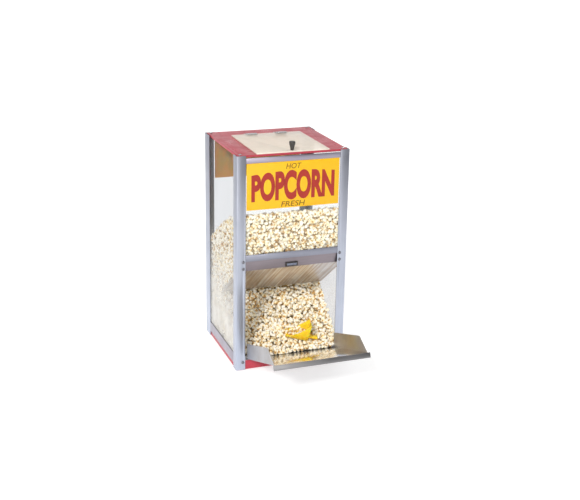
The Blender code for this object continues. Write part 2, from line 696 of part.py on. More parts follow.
def build_knob(finish, place, lid_axis):
    """A knob that widens upwards, with a blind bore for the screw under the lid."""
    bore, bore_depth = SCREW_HOLE_RADIUS, KNOB_BORE_DEPTH
    profile = [(0, 0.0265), (0.0070, 0.0265), (0.0094, 0.0250), (0.0098, 0.0225), (0.0086, 0.0160),
               (0.0064, 0.0080), (0.0055, 0.0), (bore, 0.0), (bore, bore_depth), (0, bore_depth)]
    round_off(add_object("lid_knob", lathe_mesh(profile, 16), finish["black_plastic"], place, lid_axis))
    under_lid = -LID_THICKNESS - 2 * GAP
    head, tip = under_lid - KNOB_SCREW_HEAD_HEIGHT, under_lid + KNOB_SCREW_REACH
    profile = [(0, head), (KNOB_SCREW_HEAD_RADIUS * 0.7, head), (KNOB_SCREW_HEAD_RADIUS, under_lid),
               (KNOB_SCREW_RADIUS, under_lid), (KNOB_SCREW_RADIUS, tip), (0, tip)]
    round_off(add_object("knob_screw", lathe_mesh(profile), finish["bright_steel"], place, lid_axis))


def tray_outline():
    """The tray floor's section about its pivot: lip, floor and the roll round the rod."""
    floor = -ROLL_RADIUS
    front = -TRAY_LENGTH + SHEET / 2
    lip_bottom = floor - TRAY_LIP + SHEET / 2
    path = [(front, lip_bottom), (front, floor)]
    path += arc((0, 0), ROLL_RADIUS, -90, 170, 12)
    return sheet_outline(path, SHEET)


def tray_wall_outline():
    """A side wall's outline about the pivot, with its rear edge raked and its front corner cut."""
    floor = -ROLL_RADIUS
    top = floor + TRAY_WALL_HEIGHT
    front = -TRAY_LENGTH + TRAY_WALL_FRONT
    return [(-TRAY_WALL_REAR, floor), (-TRAY_WALL_REAR_TOP, top), (front + TRAY_WALL_HEIGHT, top),
            (front, floor)]


def build_tray(finish):
    """The serving tray, its pivot rod and the two brackets that hold the rod."""
    pivot = at(0, TRAY_PIVOT_Y, TRAY_PIVOT_Z)
    axis = add_axis("tray_axis", pivot)
    inside = TRAY_HALF_WIDTH
    tray = add_object("tray", prism_mesh(tray_outline(), -inside, inside), finish["stainless"], pivot, axis)
    tilt = -TRAY_TILT
    for side, side_name in ((-1, "left"), (1, "right")):
        xs = sorted((side * inside, side * (inside - SHEET)))
        wall = add_tool(f"tray_wall_{side_name}", prism_mesh(tray_wall_outline(), *xs), pivot)
        wall.rotation_euler.x = tilt
        combine(tray, wall, "UNION")
    front = -TRAY_LENGTH
    bottom = -ROLL_RADIUS - TRAY_LIP + SHEET / 2
    bm, middle = block_mesh((-TRAY_LIP_HALF_WIDTH, front, bottom),
                            (TRAY_LIP_HALF_WIDTH, front + SHEET, -ROLL_RADIUS + SHEET / 2))
    bmesh.ops.translate(bm, verts=bm.verts, vec=middle)
    lip = add_tool("tray_lip", bm, pivot)
    lip.rotation_euler.x = tilt
    combine(tray, lip, "UNION")
    tray.rotation_euler.x = tilt
    bm = rod_mesh(ROD_RADIUS, 2 * BRACKET_OUTER_X)
    bmesh.ops.rotate(bm, verts=bm.verts, matrix=Matrix.Rotation(math.radians(90), 3, "Y"))
    round_off(add_object("tray_rod", bm, finish["bright_steel"], pivot))
    for side, side_name in ((-1, "left"), (1, "right")):
        add_bracket(side, side_name, pivot, finish)


def add_bracket(side, side_name, pivot, finish):
    """An upright tab round the rod's end, with a foot that turns inwards on the deck."""
    foot = DECK_TOP + GAP - TRAY_PIVOT_Z
    xs = sorted((side * BRACKET_INNER_X, side * BRACKET_OUTER_X))
    crown = arc((0, 0), BRACKET_RADIUS, 0, 180, 8)
    tab = prism_mesh([(-BRACKET_RADIUS, foot), (BRACKET_RADIUS, foot)] + crown, *xs)
    bracket = add_object(f"tray_bracket_{side_name}", tab, finish["bright_steel"], pivot)
    xs = sorted((side * (BRACKET_INNER_X - BRACKET_FOOT), side * BRACKET_OUTER_X))
    deep = BRACKET_FOOT_HALF_DEPTH
    combine(bracket, box_tool(f"bracket_foot_{side_name}", pivot + Vector((xs[0], -deep, foot)),
                              pivot + Vector((xs[1], deep, foot + SHEET))), "UNION")
    bm = rod_mesh(ROD_RADIUS + GAP, 4 * (BRACKET_OUTER_X - BRACKET_INNER_X))
    bmesh.ops.rotate(bm, verts=bm.verts, matrix=Matrix.Rotation(math.radians(90), 3, "Y"))
    mid_x = side * (BRACKET_INNER_X + BRACKET_OUTER_X) / 2
    combine(bracket, add_tool(f"bracket_bore_{side_name}", bm, pivot + Vector((mid_x, 0, 0))))


def scoop_section(y, height, steps=8):
    """A U section at y along the bowl, from one rim round the bottom to the other."""
    points = [Vector((-SCOOP_RADIUS, y, height))]
    for x, z in arc((0, SCOOP_RADIUS), SCOOP_RADIUS, 180, 360, steps):
        points.append(Vector((x, y, min(z, height))))
    points.append(Vector((SCOOP_RADIUS, y, height)))
    return points


def scoop_mesh():
    """The bowl's outer surface: five U sections and a closed back."""
    bm = bmesh.new()
    stations = 5
    rows = []
    for i in range(stations):
        share = i / (stations - 1)
        height = SCOOP_MOUTH_HEIGHT + (SCOOP_BACK_HEIGHT - SCOOP_MOUTH_HEIGHT) * (1 - share) ** 1.6
        section = scoop_section(share * SCOOP_LENGTH, max(height, SCOOP_MOUTH_HEIGHT))
        rows.append([bm.verts.new(p) for p in section])
    for near, far in zip(rows, rows[1:]):
        for i in range(len(near) - 1):
            bm.faces.new((near[i], near[i + 1], far[i + 1], far[i]))
    bm.faces.new(rows[0])
    bmesh.ops.remove_doubles(bm, verts=bm.verts, dist=1e-5)
    bmesh.ops.recalc_face_normals(bm, faces=bm.faces)
    return bm


def build_scoop(finish):
    """The loose serving scoop, lying across the popcorn at the mouth."""
    forward = Vector(SCOOP_AXIS).normalized()
    across = forward.cross(Vector(SCOOP_UP)).normalized()
    up = across.cross(forward)
    turn = Matrix((across, forward, up)).transposed()
    place = at(*SCOOP_PLACE)
    axis = add_axis("scoop_axis", place)
    bm = scoop_mesh()
    bmesh.ops.rotate(bm, verts=bm.verts, matrix=turn)
    scoop = add_object("scoop", bm, finish["scoop_plastic"], place, axis)
    shell = scoop.modifiers.new("wall", "SOLIDIFY")
    shell.thickness = SCOOP_WALL
    shell.offset = -1.0
    half, (low, high) = SCOOP_HANDLE_HALF_WIDTH, SCOOP_HANDLE_LEVELS
    bm, middle = block_mesh((-half, SCOOP_HANDLE_ROOT - SCOOP_HANDLE, low), (half, SCOOP_HANDLE_ROOT, high))
    bmesh.ops.translate(bm, verts=bm.verts, vec=middle)
    bmesh.ops.bevel(bm, geom=bm.edges, offset=SCOOP_HANDLE_ROUND, segments=1, profile=0.5,
                    affect="EDGES", material=-1)
    bmesh.ops.rotate(bm, verts=bm.verts, matrix=turn)
    combine(scoop, add_tool("scoop_handle", bm, place), "UNION")


def crust_mesh(outline, half):
    """The outer skin of a heap whose (y, z) section is the outline, open at both ends."""
    bm = bmesh.new()
    near = [bm.verts.new((-half, y, z)) for y, z in outline]
    far = [bm.verts.new((half, y, z)) for y, z in outline]
    count = len(outline)
    for i in range(count):
        after = (i + 1) % count
        bm.faces.new((near[i], near[after], far[after], far[i]))
    bmesh.ops.recalc_face_normals(bm, faces=bm.faces)
    return bm


def add_crust(name, outline, finish):
    """A heap of popcorn as the crust of its section."""
    half = HALF_WIDTH - SHELL_SETBACK - PANE - PANE_CLEARANCE
    heap = add_object(name, crust_mesh(outline, half), finish["popcorn"], at(0, 0, 0))
    skin = heap.modifiers.new("crust", "SOLIDIFY")
    skin.thickness = CRUST
    skin.offset = -1.0
    return heap


def build_popcorn(finish):
    """The heap behind and above the baffle, and the spill at the mouth."""
    toe_y, toe_z = POPCORN_TOE
    floor = DECK_TOP + GAP
    rear = DEPTH - SHELL_SETBACK - PANE - PANE_CLEARANCE
    split_z = toe_z + (POPCORN_SPLIT_Y - toe_y) * POPCORN_SLOPE
    edge_y, edge_z = BAFFLE_FOLDS[3]
    fold_y, fold_z = BAFFLE_FOLDS[2]
    clear = BAFFLE_CLEARANCE
    behind = edge_y + 5 * clear
    inner_front = SHELL_SETBACK + PANE + PANE_CLEARANCE
    bulk = [(POPCORN_SPLIT_Y, floor), (POPCORN_SPLIT_Y, split_z),
            (behind, toe_z + (behind - toe_y) * POPCORN_SLOPE), (behind, edge_z + 2 * clear),
            (fold_y + clear, fold_z + 2 * clear), (inner_front, CROSSBAR[0]),
            (inner_front, HEAP_FRONT_TOP), *HEAP_TOP, (rear, HEAP_REAR_TOP), (rear, floor)]
    add_crust("popcorn_bulk", bulk, finish)
    end = POPCORN_SPLIT_Y - GAP
    spill = [(toe_y, floor), (toe_y, toe_z + CRUST), (end, split_z), (end, floor)]
    add_crust("popcorn_spill", spill, finish)


def main():
    """Build the whole object."""
    clear_scene()
    finish = finishes()
    build_posts(finish)
    build_screws(finish)
    build_base(finish)
    build_power(finish)
    build_rails(finish)
    build_panes(finish)
    build_signs(finish)
    build_baffle(finish)
    build_roof(finish)
    build_lid(finish)
    build_tray(finish)
    build_scoop(finish)
    build_popcorn(finish)


main()
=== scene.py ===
"""Looks of a countertop popcorn warmer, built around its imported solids.

Metres, +Z up, front towards -Y.  Each piece takes its place from the solid that it stands for.
Places inside the cabinet are given from its front face (y, backwards) and from the foot of its
corner posts (z); Cabinet.at turns them into the shared frame.
"""

import json
import logging
import math
import random
from dataclasses import dataclass
from enum import Enum
from functools import cached_property
from itertools import product
from typing import Callable, Iterable, Optional, Protocol, Sequence

import bmesh
import bpy
from mathutils import Matrix, Quaternion, Vector


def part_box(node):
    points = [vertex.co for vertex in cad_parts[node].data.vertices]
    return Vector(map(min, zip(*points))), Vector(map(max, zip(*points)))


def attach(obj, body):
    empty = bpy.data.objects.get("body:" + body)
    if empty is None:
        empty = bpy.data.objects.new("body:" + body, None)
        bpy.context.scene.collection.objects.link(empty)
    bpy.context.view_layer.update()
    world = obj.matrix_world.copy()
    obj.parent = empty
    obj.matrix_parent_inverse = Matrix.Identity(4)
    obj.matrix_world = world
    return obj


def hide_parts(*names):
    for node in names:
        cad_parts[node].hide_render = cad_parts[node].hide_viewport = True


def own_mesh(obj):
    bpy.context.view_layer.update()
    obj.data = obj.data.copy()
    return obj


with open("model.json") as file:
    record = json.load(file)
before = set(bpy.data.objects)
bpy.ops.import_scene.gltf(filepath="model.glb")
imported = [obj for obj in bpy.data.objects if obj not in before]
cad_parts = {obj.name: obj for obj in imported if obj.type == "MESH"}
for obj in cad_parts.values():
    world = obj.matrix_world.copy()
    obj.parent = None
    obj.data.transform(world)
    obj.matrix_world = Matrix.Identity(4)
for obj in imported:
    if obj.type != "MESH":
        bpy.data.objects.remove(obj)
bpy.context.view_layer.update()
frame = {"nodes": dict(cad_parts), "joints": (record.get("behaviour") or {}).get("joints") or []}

LOG = logging.getLogger("popcorn_warmer")
MERGE = 1e-5
SHARP = math.radians(38)
SHEET_EDGE = 0.0003
MOULDED_EDGE = 0.0005
SMALL_EDGE = 0.0002
ENDS = ("front", "rear")
SIDES = ("left", "right")
Colour = tuple[float, float, float]
Socket = bpy.types.NodeSocket


# ---------------------------------------------------------------- shader work


class NodeBench:
    """The shader nodes of one material."""

    def __init__(self, name: str) -> None:
        """Start a material with its Principled shader.

        Args:
            name: The material's name.
        """
        self.material = bpy.data.materials.new(name)
        self.material.use_nodes = True
        self.nodes = self.material.node_tree.nodes
        self.links = self.material.node_tree.links
        self.shader = self.nodes["Principled BSDF"]
        self.output = self.nodes["Material Output"]

    def add(self, kind: str, **settings: object) -> bpy.types.Node:
        """Add a node.

        Args:
            kind: The node's type, without its ShaderNode prefix.
            settings: Properties of the node by name.

        Returns:
            The new node.
        """
        node = self.nodes.new("ShaderNode" + kind)
        for name, value in settings.items():
            setattr(node, name, value)
        return node

    def fix(self, **values: object) -> None:
        """Set constants on the Principled shader, words of a socket's name joined by underscores."""
        for name, value in values.items():
            self.shader.inputs[name.replace("_", " ")].default_value = value

    def feed(self, source: Socket, socket: str) -> None:
        """Link a result to one of the Principled shader's sockets."""
        self.links.new(source, self.shader.inputs[socket])

    def place(self, stretch: Sequence[float] = (1.0, 1.0, 1.0)) -> Socket:
        """Places on the piece in metres.

        Args:
            stretch: What each axis is multiplied by.

        Returns:
            The places' socket.
        """
        coordinates = self.add("TexCoord")
        mapping = self.add("Mapping")
        mapping.inputs["Scale"].default_value = stretch
        self.links.new(coordinates.outputs["Object"], mapping.inputs["Vector"])
        return mapping.outputs["Vector"]

    def height(self) -> Socket:
        """How high a point of the piece is.

        Returns:
            The socket of its height in metres.
        """
        split = self.add("SeparateXYZ")
        self.links.new(self.place(), split.inputs["Vector"])
        return split.outputs["Z"]

    def noise(self, vector: Socket, scale: float, detail: float = 2.0, rough: float = 0.5) -> Socket:
        """A cloudy value from 0 to 1.

        Args:
            vector: Where to read it.
            scale: Clouds to the metre.
            detail: Finer layers added.
            rough: Strength of the finer layers.

        Returns:
            The value's socket.
        """
        node = self.add("TexNoise")
        node.inputs["Scale"].default_value = scale
        node.inputs["Detail"].default_value = detail
        node.inputs["Roughness"].default_value = rough
        self.links.new(vector, node.inputs["Vector"])
        return node.outputs["Fac"]

    def spread(self, value: Socket, source: Sequence[float], target: Sequence[float]) -> Socket:
        """Carry a value from one range to another, clamped at both ends.

        Args:
            value: The value.
            source: The two ends that it comes from.
            target: The two ends that it goes to.

        Returns:
            The carried value's socket.
        """
        node = self.add("MapRange")
        for socket, number in zip(("From Min", "From Max", "To Min", "To Max"), (*source, *target)):
            node.inputs[socket].default_value = number
        self.links.new(value, node.inputs["Value"])
        return node.outputs["Result"]

    def calculate(self, operation: str, first: Socket, second: object) -> Socket:
        """One step of arithmetic.

        Args:
            operation: The Math node's operation.
            first: The first value.
            second: Another value's socket, or a number.

        Returns:
            The result's socket.
        """
        node = self.add("Math", operation=operation)
        self.links.new(first, node.inputs[0])
        if isinstance(second, bpy.types.NodeSocket):
            self.links.new(second, node.inputs[1])
        else:
            node.inputs[1].default_value = second
        return node.outputs["Value"]

    def ramp(self, value: Socket, stops: Iterable[tuple[float, Colour]]) -> Socket:
        """A colour read off a ramp.

        Args:
            value: Where on the ramp, from 0 to 1.
            stops: The ramp's (position, colour) stops.

        Returns:
            The colour's socket.
        """
        node = self.add("ValToRGB")
        elements = node.color_ramp.elements
        stops = list(stops)
        while len(elements) < len(stops):
            elements.new(0.5)
        for element, (position, colour) in zip(elements, stops):
            element.position = position
            element.color = (*colour, 1.0)
        self.links.new(value, node.inputs["Fac"])
        return node.outputs["Color"]

    def blend(self, factor: Socket, low: object, high: object) -> Socket:
        """Mix two colours, each a colour or another result's socket.

        Args:
            factor: How much of the second one there is.
            low: The colour at 0.
            high: The colour at 1.

        Returns:
            The mixed colour's socket.
        """
        node = self.add("Mix", data_type="RGBA")
        self.links.new(factor, node.inputs[0])
        for socket, colour in ((node.inputs[6], low), (node.inputs[7], high)):
            if isinstance(colour, bpy.types.NodeSocket):
                self.links.new(colour, socket)
            else:
                socket.default_value = (*colour, 1.0)
        return node.outputs[2]

    def attribute(self, name: str) -> Socket:
        """A value stored on the piece's points."""
        node = self.add("Attribute", attribute_name=name)
        return node.outputs["Fac"]

    def bump(self, height: Socket, distance: float, strength: float = 1.0) -> None:
        """Raise the surface by a height value.

        Args:
            height: The value, 0 to 1.
            distance: Metres between 0 and 1.
            strength: How much of it shows.
        """
        node = self.add("Bump")
        node.inputs["Distance"].default_value = distance
        node.inputs["Strength"].default_value = strength
        self.links.new(height, node.inputs["Height"])
        self.feed(node.outputs["Normal"], "Normal")

    def mottle(self, value: Socket, window: Sequence[float], colour: Colour, share: float) -> None:
        """Colour the piece, with patches of a share of the colour.

        Args:
            value: Where the patches are, from 0 to 1.
            window: The values between which a patch comes in.
            colour: The colour between the patches.
            share: How bright the patches are beside it.
        """
        patches = self.spread(value, window, (0.0, 1.0))
        self.feed(self.blend(patches, colour, scaled(colour, share)), "Base Color")

    def dull(self, value: Socket, roughness: float, shares: Sequence[float],
             window: Sequence[float] = (0.3, 0.7)) -> None:
        """Let the roughness vary over the piece.

        Args:
            value: What it varies with, from 0 to 1.
            roughness: The middling roughness.
            shares: How much of it there is at either end of the window.
            window: The values that the change lies between.
        """
        self.feed(self.spread(value, window, [roughness * share for share in shares]), "Roughness")


class Grain(Enum):
    """The axes that a brushed finish runs along, as indices; a sloping sheet's run is in two."""

    ACROSS = (0,)
    DEEP = (1,)
    UPRIGHT = (2,)
    SLOPING = (1, 2)

    def stretch(self, across: float, along: float) -> list[float]:
        """Scales of a pattern that is fine across the grain and drawn out along it."""
        return [along if axis in self.value else across for axis in range(3)]


def scaled(colour: Colour, share: float) -> Colour:
    """A colour made darker or lighter."""
    return tuple(min(1.0, channel * share) for channel in colour)


class Look(Protocol):
    """How a finish is described before its material is made."""

    def build(self) -> bpy.types.Material:
        """Make the material."""


@dataclass(frozen=True)
class BrushedMetal:
    """Sheet or extrusion with fine brushed lines along one axis."""

    name: str
    colour: Colour
    roughness: float
    grain: Grain
    contrast: float = 0.10
    line_scale: float = 900.0
    line_length: float = 0.12
    # How strongly painted shade darkens the piece towards its top.
    stain_and_reflection: float = 0.0
    stain_and_reflection_colour: Colour = (0.30, 0.22, 0.16)
    stain_and_reflection_scale: float = 38.0
    painted_top_shade: float = 0.0

    def build(self) -> bpy.types.Material:
        """Make the material: lines in colour, gloss and relief, over faint clouds.

        Returns:
            The material.
        """
        bench = NodeBench(self.name)
        stretch = self.grain.stretch(self.line_scale, 1.0 / self.line_length)
        lines = bench.noise(bench.place(stretch), 1.0, detail=3.0, rough=0.6)
        clouds = bench.noise(bench.place(), 14.0, detail=3.0)
        dark, bright = scaled(self.colour, 1 - self.contrast), scaled(self.colour, 1 + self.contrast / 2)
        shade = bench.blend(bench.spread(lines, (0.3, 0.7), (0.0, 1.0)), dark, bright)
        shade = bench.blend(bench.spread(clouds, (0.35, 0.75), (0.0, 0.35)), shade,
                            scaled(self.colour, 1 - 1.4 * self.contrast))
        if self.stain_and_reflection:
            shade = self.add_stain_and_reflection(bench, shade)
        if self.painted_top_shade:
            shade = self.add_painted_top_shade(bench, shade)
        bench.feed(shade, "Base Color")
        bench.dull(clouds, self.roughness, (0.8, 1.25))
        bench.bump(lines, 0.00002, 0.5)
        bench.fix(Metallic=1.0)
        return bench.material

    def add_stain_and_reflection(self, bench: NodeBench, shade: Socket) -> Socket:
        """Brown streaks drawn out along the grain: stains, and on the baffle also a painted reflection of
        the popcorn.

        Args:
            bench: The material's nodes.
            shade: The colour so far.

        Returns:
            The stained colour's socket.
        """
        stretch = self.grain.stretch(self.stain_and_reflection_scale, 3.0)
        streaks = bench.noise(bench.place(stretch), 1.0, detail=4.0, rough=0.65)
        return bench.blend(bench.spread(streaks, (0.42, 0.60), (0.0, self.stain_and_reflection)), shade, self.stain_and_reflection_colour)

    def add_painted_top_shade(self, bench: NodeBench, shade: Socket) -> Socket:
        """Painted shade: darker towards the top, as the light on the posts fell off upwards."""
        height_fade = bench.spread(bench.height(), (0.10, 0.62), (0.0, self.painted_top_shade))
        return bench.blend(height_fade, shade, (0.16, 0.14, 0.14))


@dataclass(frozen=True)
class PlatedSteel:
    """Small zinc-plated hardware: mottled gloss, no grain."""

    name: str
    colour: Colour = (0.62, 0.62, 0.64)
    roughness: float = 0.28

    def build(self) -> bpy.types.Material:
        """Make the material.

        Returns:
            The material.
        """
        bench = NodeBench(self.name)
        spots = bench.noise(bench.place(), 420.0, detail=4.0, rough=0.6)
        bench.mottle(spots, (0.35, 0.7), self.colour, 0.72)
        bench.dull(spots, self.roughness, (0.8, 1.4))
        bench.bump(spots, 0.00003, 0.4)
        bench.fix(Metallic=1.0)
        return bench.material


@dataclass(frozen=True)
class PowderCoat:
    """Gloss red stoved paint with a faint orange peel and rubbed patches."""

    name: str
    colour: Colour
    roughness: float = 0.30

    def build(self) -> bpy.types.Material:
        """Make the material.

        Returns:
            The material.
        """
        bench = NodeBench(self.name)
        peel = bench.noise(bench.place(), 520.0, detail=2.0)
        rubbed = bench.noise(bench.place(), 22.0, detail=5.0, rough=0.6)
        bench.mottle(rubbed, (0.4, 0.75), self.colour, 0.84)
        bench.dull(rubbed, self.roughness, (0.8, 1.5), (0.35, 0.7))
        bench.bump(peel, 0.00006, 0.35)
        bench.fix(Coat_Weight=0.05, Coat_Roughness=0.15, Specular_IOR_Level=0.28)
        return bench.material


@dataclass(frozen=True)
class ClearPanel:
    """Clear sheet: seen through, mirroring at a slant, with a haze that is faint dust on the walls, a
    painted reflection on the lid, and partly one low on the left wall.
    """

    name: str
    tint: Colour = (0.97, 0.985, 0.98)
    haze: float = 0.022
    haze_colour: Colour = (0.97, 0.965, 0.95)
    cloud: float = 0.6
    height_fade: float = 0.0
    mirror: tuple[float, float] = (0.022, 0.32)

    def build(self) -> bpy.types.Material:
        """Make the material: haze over clearness, and a slanting reflection over both.

        Returns:
            The material.
        """
        bench = NodeBench(self.name)
        bench.fix(Roughness=0.55)
        dust = bench.noise(bench.place(), 11.0, detail=5.0, rough=0.7)
        fine = bench.noise(bench.place(), 240.0, detail=2.0)
        bench.feed(bench.blend(fine, self.haze_colour, scaled(self.haze_colour, 0.93)), "Base Color")
        clear = bench.add("BsdfTransparent")
        clear.inputs["Color"].default_value = (*self.tint, 1.0)
        mirror = bench.add("BsdfGlossy")
        mirror.inputs["Roughness"].default_value = 0.03
        facing = bench.add("LayerWeight")
        facing.inputs["Blend"].default_value = 0.5
        slant = bench.calculate("POWER", facing.outputs["Facing"], 5.0)
        reflected = bench.spread(slant, (0.0, 1.0), self.mirror)
        film = bench.spread(dust, (0.3, 0.8), (self.haze * (1 - self.cloud), self.haze * (1 + self.cloud)))
        # The film thickens towards the bottom: dust, and on the left wall a painted reflection as well.
        if self.height_fade:
            low_down = bench.spread(bench.height(), (0.12, 0.42), (self.height_fade, 0.0))
            film = bench.calculate("ADD", film, bench.calculate("MULTIPLY", low_down, dust))
        inner = self.layer(bench, film, clear.outputs[0], bench.shader.outputs[0])
        outer = self.layer(bench, reflected, inner, mirror.outputs[0])
        bench.links.new(outer, bench.output.inputs["Surface"])
        return bench.material

    def layer(self, bench: NodeBench, factor: Socket, under: Socket, over: Socket) -> Socket:
        """Lay one shader over another.

        Args:
            bench: The material's nodes.
            factor: How much of the upper one there is.
            under: The lower shader.
            over: The upper shader.

        Returns:
            The laid shader's socket.
        """
        mix = bench.add("MixShader")
        bench.links.new(factor, mix.inputs[0])
        bench.links.new(under, mix.inputs[1])
        bench.links.new(over, mix.inputs[2])
        return mix.outputs[0]


@dataclass(frozen=True)
class PrintedFace:
    """Printed sign vinyl or ink: even colour, faint mottle, satin."""

    name: str
    colour: Colour
    roughness: float = 0.42
    mottle: float = 0.07
    glow: float = 0.0

    def build(self) -> bpy.types.Material:
        """Make the material; glow lets light from behind through the sheet.

        Returns:
            The material.
        """
        bench = NodeBench(self.name)
        mottle = bench.noise(bench.place(), 60.0, detail=6.0, rough=0.7)
        bench.mottle(mottle, (0.35, 0.7), self.colour, 1 - self.mottle)
        skin = bench.noise(bench.place(), 900.0, detail=1.0)
        bench.dull(skin, self.roughness, (0.9, 1.15))
        bench.bump(skin, 0.00002, 0.3)
        bench.fix(Specular_IOR_Level=0.3)
        if self.glow:
            bench.fix(Subsurface_Weight=self.glow, Subsurface_Scale=0.003,
                      Subsurface_Radius=(1.0, 0.6, 0.15))
        return bench.material


@dataclass(frozen=True)
class MouldedPlastic:
    """Moulded plastic or rubber with a fine spark-eroded skin."""

    name: str
    colour: Colour
    roughness: float = 0.45
    glow: float = 0.0
    skin_scale: float = 1400.0

    def build(self) -> bpy.types.Material:
        """Make the material.

        Returns:
            The material.
        """
        bench = NodeBench(self.name)
        flow = bench.noise(bench.place(), 45.0, detail=4.0, rough=0.6)
        skin = bench.noise(bench.place(), self.skin_scale, detail=2.0)
        bench.mottle(flow, (0.35, 0.7), self.colour, 0.88)
        bench.dull(skin, self.roughness, (0.85, 1.2))
        bench.bump(skin, 0.00005, 0.5)
        if self.glow:
            bench.fix(Subsurface_Weight=self.glow, Subsurface_Scale=0.004,
                      Subsurface_Radius=(1.0, 0.5, 0.08))
        return bench.material


@dataclass(frozen=True)
class HeatTintedSteel:
    """Tubular element steel that has been hot: straw, brown and blue bands."""

    name: str

    def build(self) -> bpy.types.Material:
        """Make the material.

        Returns:
            The material.
        """
        bench = NodeBench(self.name)
        bands = bench.noise(bench.place(), 26.0, detail=3.0)
        bench.feed(bench.ramp(bands, ((0.30, (0.46, 0.43, 0.40)), (0.45, (0.42, 0.30, 0.16)),
                                      (0.56, (0.25, 0.15, 0.12)), (0.70, (0.17, 0.20, 0.33)))), "Base Color")
        bench.feed(bench.spread(bands, (0.3, 0.7), (0.32, 0.55)), "Roughness")
        bench.bump(bench.noise(bench.place(), 600.0), 0.00004, 0.5)
        bench.fix(Metallic=1.0)
        return bench.material


@dataclass(frozen=True)
class PoppedCorn:
    """Popped corn: cream lobes, butter-yellow flanks, and amber in the folds that is hull colour and painted
    shade.
    """

    name: str = "popped_corn"

    def build(self) -> bpy.types.Material:
        """Make the material from each kernel's tone and the depth of its folds.

        Returns:
            The material.
        """
        bench = NodeBench(self.name)
        fold = bench.attribute("lobe")
        tone = bench.attribute("tone")
        speck = bench.noise(bench.place(), 330.0, detail=4.0, rough=0.7)
        height = bench.calculate("ADD", fold, bench.spread(speck, (0.3, 0.7), (-0.13, 0.13)))
        # Deeper in a kernel's folds the colour turns amber and dark: hull colour, and painted shade in the
        # creases.
        pale = bench.ramp(height, ((0.08, (0.52, 0.30, 0.11)), (0.24, (0.88, 0.69, 0.39)),
                                   (0.40, (0.97, 0.88, 0.67)), (0.62, (0.99, 0.95, 0.84))))
        butter = bench.ramp(height, ((0.12, (0.48, 0.25, 0.07)), (0.30, (0.88, 0.64, 0.28)),
                                     (0.50, (0.96, 0.81, 0.46)), (0.76, (0.98, 0.90, 0.66))))
        bench.feed(bench.blend(bench.spread(tone, (0.60, 1.0), (0.0, 0.9)), pale, butter), "Base Color")
        bench.feed(bench.spread(speck, (0.3, 0.7), (0.55, 0.85)), "Roughness")
        bench.bump(speck, 0.0006, 0.6)
        bench.fix(Specular_IOR_Level=0.3)
        return bench.material


ANODISED = (0.53, 0.575, 0.685)
SIDE_TINT = (0.905, 0.910, 0.918)
SIDE_MIRROR = (0.015, 0.17)


